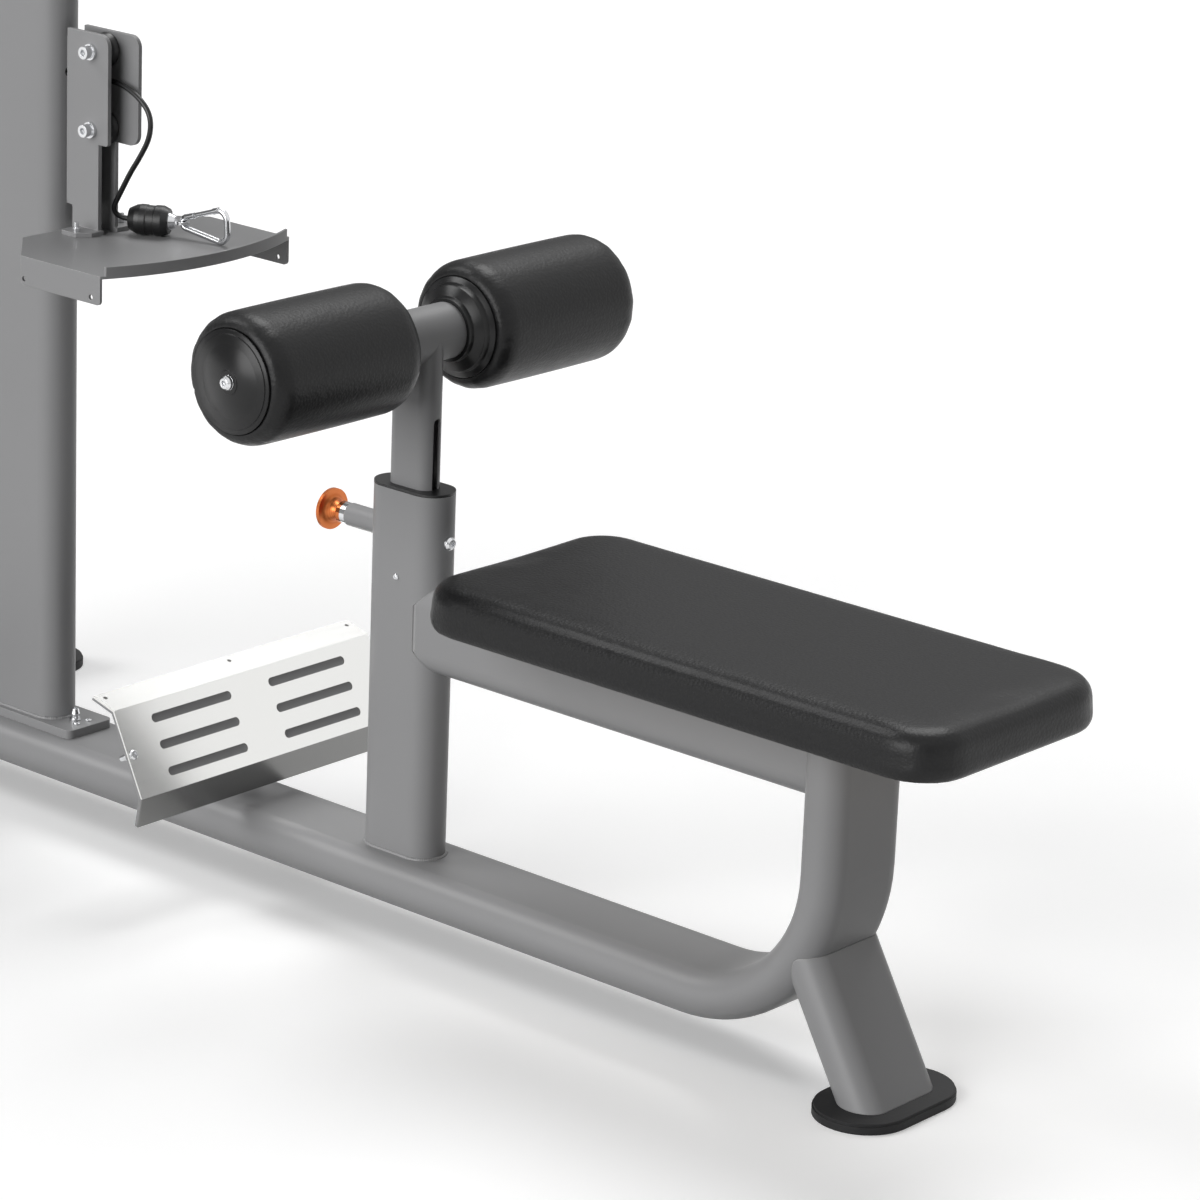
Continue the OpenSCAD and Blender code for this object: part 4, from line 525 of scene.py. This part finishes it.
# Pin housing: a painted boss welded to the post. In its mouth sits the pin's sleeve nut, bright
# plated, and its collar next to the knob is anodised like the knob.
housing_mouth = 0.0659
nut_collar = 0.0585
housing_coat, tree, shader, place = copy_finish(powder_coat, "powder_coat_with_plated_nut")
along_x = add_node(tree, "ShaderNodeSeparateXYZ", inputs={"Vector": place}).outputs["X"]
in_nut = add_node(tree, "ShaderNodeMath", {"operation": "LESS_THAN"},
                  {0: along_x, 1: housing_mouth})
nut_tint = add_node(tree, "ShaderNodeMix", {"data_type": "RGBA"},
                    {0: in_nut.outputs[0], 6: shader.inputs["Base Color"].links[0].from_socket,
                     7: plating})
in_collar = add_node(tree, "ShaderNodeMath", {"operation": "LESS_THAN"},
                     {0: along_x, 1: nut_collar})
collar_tint = add_node(tree, "ShaderNodeMix", {"data_type": "RGBA"},
                       {0: in_collar.outputs[0], 6: nut_tint.outputs[2], 7: srgb("#ca7341")})
tree.links.new(collar_tint.outputs[2], shader.inputs["Base Color"])
tree.links.new(in_nut.outputs[0], shader.inputs["Metallic"])
nut_shine = add_node(tree, "ShaderNodeMapRange",
                     inputs={"Value": in_nut.outputs[0], "To Min": 0.42, "To Max": 0.14})
tree.links.new(nut_shine.outputs[0], shader.inputs["Roughness"])
dress(housing_coat, "pin_housing")

# Weight stack: flame-cut steel plates in thick black stoving enamel, which rounds their edges, and
# a selector pin with a moulded red grip.
plate_enamel, tree, shader, place = start_finish("black_stoving_enamel_on_steel", Roughness=0.35)
enamel_flow = add_node(tree, "ShaderNodeTexNoise",
                       inputs={"Vector": place, "Scale": 1 / (6 * MM), "Detail": 3.0})
enamel_black = add_node(tree, "ShaderNodeMix", {"data_type": "RGBA"},
                        {0: enamel_flow.outputs["Fac"], 6: srgb("#222223"), 7: srgb("#2c2c2d")})
tree.links.new(enamel_black.outputs[2], shader.inputs["Base Color"])
plate_edge = add_node(tree, "ShaderNodeBevel", {"samples": 4}, {"Radius": 1.5 * MM})
enamel_bump = add_node(tree, "ShaderNodeBump",
                       inputs={"Height": enamel_flow.outputs["Fac"], "Distance": 0.2 * MM,
                               "Strength": 0.5, "Normal": plate_edge.outputs["Normal"]})
tree.links.new(enamel_bump.outputs["Normal"], shader.inputs["Normal"])
dress(plate_enamel, "resting_plates", "lifted_plates", "top_plate")

grip_end = -0.0555
pin_red, tree, shader, place = start_finish("moulded_red_nylon", Roughness=0.35)
along_y = add_node(tree, "ShaderNodeSeparateXYZ", inputs={"Vector": place}).outputs["Y"]
red_flow = add_node(tree, "ShaderNodeTexNoise",
                    inputs={"Vector": place, "Scale": 1 / (10 * MM), "Detail": 3.0})
red_tint = add_node(tree, "ShaderNodeMix", {"data_type": "RGBA"},
                    {0: red_flow.outputs["Fac"], 6: srgb("#a3140f"), 7: srgb("#b81b14")})
pin_steel = add_node(tree, "ShaderNodeMath", {"operation": "GREATER_THAN"},
                     {0: along_y, 1: grip_end})
selector_tint = add_node(tree, "ShaderNodeMix", {"data_type": "RGBA"},
                         {0: pin_steel.outputs[0], 6: red_tint.outputs[2], 7: srgb("#cfd0d2")})
tree.links.new(selector_tint.outputs[2], shader.inputs["Base Color"])
tree.links.new(pin_steel.outputs[0], shader.inputs["Metallic"])
dress(pin_red, "selector_pin")

# Seat board: birch plywood under the cushion, sanded and left bare; it shows from below.
plywood, tree, shader, place = start_finish("bare_birch_plywood", Roughness=0.6)
grain_way = add_node(tree, "ShaderNodeMapping",
                     inputs={"Vector": place,
                             "Scale": [1 / (size * MM) for size in (250, 20, 1.5)]})
wood_grain = add_node(tree, "ShaderNodeTexNoise",
                      inputs={"Vector": grain_way.outputs[0], "Scale": 1.0, "Detail": 6.0,
                              "Distortion": 1.2})
wood_tint = add_node(tree, "ShaderNodeMix", {"data_type": "RGBA"},
                     {0: wood_grain.outputs["Fac"], 6: srgb("#b98f5c"), 7: srgb("#dcc195")})
tree.links.new(wood_tint.outputs[2], shader.inputs["Base Color"])
dress(plywood, "seat_board")

# Vinyl: PVC on a knitted back, embossed as fine leather and pulled tight over foam. Pebbles of
# about 2 mm, drawn at 3.4 mm so that they show, and long shallow creases where it turns a corner.
vinyl, tree, shader, place = start_finish("grained_black_vinyl", Specular_IOR_Level=0.3)
pebble_warp = add_node(tree, "ShaderNodeTexNoise",
                       inputs={"Vector": place, "Scale": 1 / (6 * MM), "Detail": 2.0})
pebble_place = add_node(tree, "ShaderNodeVectorMath", {"operation": "MULTIPLY_ADD"},
                        {0: pebble_warp.outputs["Color"], 1: [3 * MM] * 3, 2: place})
pebbles = add_node(tree, "ShaderNodeTexVoronoi", {"feature": "SMOOTH_F1"},
                   {"Vector": pebble_place.outputs[0], "Scale": 1 / (3.4 * MM), "Smoothness": 0.35})
crease_way = add_node(tree, "ShaderNodeMapping",
                      inputs={"Vector": place, "Scale": [1 / (size * MM) for size in (30, 20, 5)]})
creases = add_node(tree, "ShaderNodeTexNoise",
                   inputs={"Vector": crease_way.outputs[0], "Scale": 1.0, "Detail": 3.0})
pebble_bump = add_node(tree, "ShaderNodeBump", {"invert": True},
                       {"Height": pebbles.outputs["Distance"], "Distance": 0.3 * MM,
                        "Strength": 0.6})
crease_bump = add_node(tree, "ShaderNodeBump",
                       inputs={"Height": creases.outputs["Fac"], "Distance": 0.7 * MM,
                               "Strength": 0.35, "Normal": pebble_bump.outputs["Normal"]})
tree.links.new(crease_bump.outputs["Normal"], shader.inputs["Normal"])
# Painted shade: the vinyl is darker in the valleys between the pebbles
vinyl_tint_with_painted_valley_shade = add_node(tree, "ShaderNodeMix", {"data_type": "RGBA"},
                      {0: pebbles.outputs["Distance"], 6: srgb("#141415"), 7: srgb("#0b0b0c")})
tree.links.new(vinyl_tint_with_painted_valley_shade.outputs[2], shader.inputs["Base Color"])
vinyl_gloss = add_node(tree, "ShaderNodeMapRange",
                       inputs={"Value": creases.outputs["Fac"], "To Min": 0.32, "To Max": 0.46})
tree.links.new(vinyl_gloss.outputs[0], shader.inputs["Roughness"])

# Seat cushion: vinyl over 40 mm foam on the board, pulled down round the board's edge. It starts a
# little small and air pressure under the cloth fills it out, so its faces crown between the edges.
pad_middle = 0.6234
pad_half = (0.335, 0.149)
pad_corner = 0.056
pad_low, pad_high = 0.403, 0.455
pad_round = 0.02
round_steps, corner_steps = 6, 10
board_room, board_deep = 0.0137, 0.0125
shrink = 0.0006


def ring_of_pad(inset, z):
    """Points of the cushion's rounded rectangle, that much smaller all round, at a height."""
    corner = pad_corner - inset
    ring = []
    for quarter, (side_x, side_y) in enumerate(((1, 1), (-1, 1), (-1, -1), (1, -1))):
        turned_x = pad_middle + side_x * (pad_half[0] - pad_corner)
        turned_y = side_y * (pad_half[1] - pad_corner)
        for step in range(corner_steps + 1):
            angle = math.pi / 2 * (quarter + step / corner_steps)
            ring.append((turned_x + corner * math.cos(angle),
                         turned_y + corner * math.sin(angle), z))
    return ring


def skin_rings(name, rings, joined=False):
    """A closed mesh through rings of equal count, capped at its ends or joined end to end."""
    shape = bmesh.new()
    rows = [[shape.verts.new(point) for point in ring] for ring in rings]
    if joined:
        rows.append(rows[0])
    for low, high in zip(rows, rows[1:]):
        for i in range(len(low)):
            j = (i + 1) % len(low)
            shape.faces.new((low[i], low[j], high[j], high[i]))
    if not joined:
        shape.faces.new(rows[0][::-1])
        shape.faces.new(rows[-1])
    bmesh.ops.recalc_face_normals(shape, faces=shape.faces)
    mesh = bpy.data.meshes.new(name)
    shape.to_mesh(mesh)
    shape.free()
    return mesh


# From the board's recess round the cover's turned-under hem, up the side and over the top edge
pad_outline = [(board_room, pad_low + board_deep), (board_room, pad_low), (0.009, pad_low),
               (0.0045, pad_low + 0.002), (shrink, pad_low + 0.009),
               (shrink, pad_high - shrink - pad_round)]
for step in range(1, round_steps + 1):
    angle = math.pi / 2 * step / round_steps
    pad_outline.append((shrink + pad_round * (1 - math.cos(angle)),
                        pad_high - shrink - pad_round * (1 - math.sin(angle))))
pad_mesh = skin_rings("seat_pad", [ring_of_pad(inset, z) for inset, z in pad_outline])
seat_pad = bpy.data.objects.new("seat_pad", pad_mesh)
bpy.context.scene.collection.objects.link(seat_pad)


def bake_modifiers(piece):
    """Turns a piece's modifiers into its mesh."""
    seen = piece.evaluated_get(bpy.context.evaluated_depsgraph_get())
    baked = bpy.data.meshes.new_from_object(seen)
    piece.modifiers.clear()
    piece.data = baked


remesh = seat_pad.modifiers.new("even_cells", "REMESH")
remesh.mode = "VOXEL"
remesh.voxel_size = 0.005
bake_modifiers(seat_pad)
cells = seat_pad.data
start = np.array([v.co for v in cells.vertices])
# The board's glue and the staples hold the recess and the hem
hem_in, glue_high, hem_high = 0.006, 0.0165, 0.003
from_middle = abs(start - (pad_middle, 0, pad_low))
inside = (from_middle[:, 0] < pad_half[0] - hem_in) & (from_middle[:, 1] < pad_half[1] - hem_in)
held = inside & (from_middle[:, 2] < glue_high) | (from_middle[:, 2] < hem_high)
most_swell = 0.002
fill_frames = 20
even_turns = 14
pins = seat_pad.vertex_groups.new(name="held")
pins.add([int(i) for i in np.nonzero(held)[0]], 1.0, "REPLACE")
cloth = seat_pad.modifiers.new("cloth", "CLOTH")
cloth.settings.quality = 6
cloth.settings.mass = 0.4
cloth.settings.tension_stiffness = 25
cloth.settings.compression_stiffness = 25
cloth.settings.shear_stiffness = 10
cloth.settings.bending_stiffness = 2.0
cloth.settings.use_pressure = True
cloth.settings.uniform_pressure_force = 4.0
cloth.settings.vertex_group_mass = "held"
cloth.settings.effector_weights.gravity = 0
cloth.collision_settings.use_collision = False
cloth.point_cache.frame_start = 1
cloth.point_cache.frame_end = fill_frames
for step in range(1, fill_frames + 1):
    bpy.context.scene.frame_set(step)
filled = seat_pad.evaluated_get(bpy.context.evaluated_depsgraph_get())
moved = np.array([v.co for v in filled.data.vertices]) - start
seat_pad.modifiers.clear()
seat_pad.vertex_groups.clear()
bpy.context.scene.frame_set(1)
# The cap on the movement is a smooth one, so that it leaves no edge on the cushion
far = np.linalg.norm(moved, axis=1)
moved *= (most_swell * np.tanh(far / most_swell) / np.maximum(far, 1e-9))[:, None]
moved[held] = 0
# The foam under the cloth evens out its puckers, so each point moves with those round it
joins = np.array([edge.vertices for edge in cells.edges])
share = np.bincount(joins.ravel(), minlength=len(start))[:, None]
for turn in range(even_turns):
    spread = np.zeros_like(moved)
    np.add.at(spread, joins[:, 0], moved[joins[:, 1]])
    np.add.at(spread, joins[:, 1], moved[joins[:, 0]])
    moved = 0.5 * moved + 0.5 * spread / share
    moved[held] = 0
cells.vertices.foreach_set("co", (start + moved).ravel())
cells.update()
finer = seat_pad.modifiers.new("finer", "SUBSURF")
finer.levels = finer.render_levels = 1
bake_modifiers(seat_pad)
seat_pad.data.shade_smooth()
seat_pad.data.materials.clear()
seat_pad.data.materials.append(vinyl)
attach(seat_pad, "frame")
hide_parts("seat_cushion")

# Thigh rollers: moulded foam sleeves in vinyl tubes, drawn in at both ends round the end caps, past
# which they bulge a little. One seam closes the tube at the back and dips between its stitches.
roller_radius, roller_long, roller_round = 0.0688, 0.208, 0.02
roller_gap = 0.062
bore, cap_seat, cap_rim = 0.0301, 0.0525, 0.0545
end_bulge = 2.4 * MM
round_count = 144
tube_from, seam_from = 0.06, 0.045
crown, pucker, pucker_reach = 0.6 * MM, 0.9 * MM, 30 * MM
folds_round, folds_along, side_shift = 6, 12, 9
seam_turn, seam_spread = math.radians(200), 0.03
seam_dip = 1.4 * MM


def roller_profile():
    """Distance from the middle and radius, from one end's bore round to the other's."""
    half = roller_long / 2
    under_cap = half - 1 * MM
    straight = half - roller_round
    end = [(under_cap, bore), (under_cap, 0.042), (under_cap, cap_seat),
           (half + 0.4 * MM, cap_rim - 0.5 * MM)]
    end_steps, run_steps = 14, 28
    for step in range(end_steps + 1):
        angle = math.pi / 2 * step / end_steps
        end.append((straight + (roller_round + end_bulge) * math.cos(angle),
                    cap_rim + (roller_radius - cap_rim) * math.sin(angle)))
    run = [(straight - 2 * straight * k / run_steps, roller_radius) for k in range(1, run_steps)]
    return end + run + [(-x, r) for x, r in end[::-1]]


def make_roller(name, side, node):
    """One padded roller along Y; the vinyl puckers where it is drawn in at its ends."""
    middle_y = side * (roller_gap + roller_long / 2)
    rings = []
    for along_y, radius in roller_profile():
        ring = []
        near_end = max(0.0, 1 - (roller_long / 2 - abs(along_y)) / pucker_reach)
        swell = crown * (1 - (2 * along_y / roller_long) ** 2) if radius > tube_from else 0
        for k in range(round_count):
            turn = 2 * math.pi * k / round_count
            from_seam = (turn - seam_turn + math.pi) % (2 * math.pi) - math.pi
            fold = noise.noise(Vector((folds_round * math.cos(turn), folds_round * math.sin(turn),
                                       side * side_shift + along_y * folds_along)))
            fold *= pucker * near_end * (radius - bore) / (roller_radius - bore)
            dip = seam_dip * math.exp(-(from_seam / seam_spread) ** 2) if radius > seam_from else 0
            r = radius + swell + fold - dip
            ring.append((roller_at.x + r * math.cos(turn), middle_y + along_y,
                         roller_at.z + r * math.sin(turn)))
        rings.append(ring)
    mesh = skin_rings(name, rings, joined=True)
    mesh.shade_smooth()
    mesh.materials.append(vinyl)
    piece = add_piece(name, mesh, node)
    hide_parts(node)


make_roller("left_roller_sleeve", -1, "left_roller")
make_roller("right_roller_sleeve", 1, "right_roller")

# Roller seams: black bonded thread, one lock stitch every 5.5 mm on each side of the seam's dip.
stitch_turn = 2 * seam_spread
stitch_reach = roller_radius + 0.3 * MM
seam_thread, tree, shader, place = start_finish("bonded_black_thread", Roughness=0.55)
thread_twist = add_node(tree, "ShaderNodeTexNoise",
                        inputs={"Vector": place, "Scale": 1 / (0.8 * MM), "Detail": 1.0})
thread_black = add_node(tree, "ShaderNodeMix", {"data_type": "RGBA"},
                        {0: thread_twist.outputs["Fac"], 6: srgb("#1b1b1c"), 7: srgb("#303032")})
tree.links.new(thread_black.outputs[2], shader.inputs["Base Color"])
stitch_tree, stitch_in = start_shape_tree("lock_stitch",
                                          ["Stitch Length", "Pitch", "Thread Radius"])
stitch_line = add_node(stitch_tree, "GeometryNodeMeshToCurve",
                       inputs={"Mesh": stitch_in["Geometry"]})
stitch_points = add_node(stitch_tree, "GeometryNodeCurveToPoints", {"mode": "LENGTH"},
                         {"Curve": stitch_line.outputs[0], "Length": stitch_in["Pitch"]})
stitch_body = add_node(stitch_tree, "GeometryNodeMeshUVSphere",
                       inputs={"Segments": 8, "Rings": 6, "Radius": 1.0})
stitch_shape = add_node(stitch_tree, "ShaderNodeCombineXYZ",
                        inputs={"X": stitch_in["Thread Radius"], "Y": stitch_in["Thread Radius"],
                                "Z": stitch_in["Stitch Length"]})
stitch_smooth = add_node(stitch_tree, "GeometryNodeSetShadeSmooth",
                         inputs={0: stitch_body.outputs["Mesh"]})
stitches = add_node(stitch_tree, "GeometryNodeInstanceOnPoints",
                    inputs={"Points": stitch_points.outputs["Points"],
                            "Instance": stitch_smooth.outputs[0],
                            "Rotation": stitch_points.outputs["Rotation"],
                            "Scale": stitch_shape.outputs[0]})
end_shape_tree(stitch_tree, stitches.outputs[0], seam_thread)
for name, side in (("left_roller", -1), ("right_roller", 1)):
    seam_points, seam_edges = [], []
    for turn in (seam_turn - stitch_turn, seam_turn + stitch_turn):
        first = len(seam_points)
        for y in (roller_gap + roller_round, roller_gap + roller_long - roller_round):
            seam_points.append((roller_at.x + stitch_reach * math.cos(turn), side * y,
                                roller_at.z + stitch_reach * math.sin(turn)))
        seam_edges.append((first, first + 1))
    seam_mesh = bpy.data.meshes.new(name + "_seam")
    seam_mesh.from_pydata(seam_points, seam_edges, [])
    grow(name + "_stitches", seam_mesh, stitch_tree,
         {"Stitch Length": 2.1 * MM, "Pitch": 5.5 * MM, "Thread Radius": 0.45 * MM}, name)
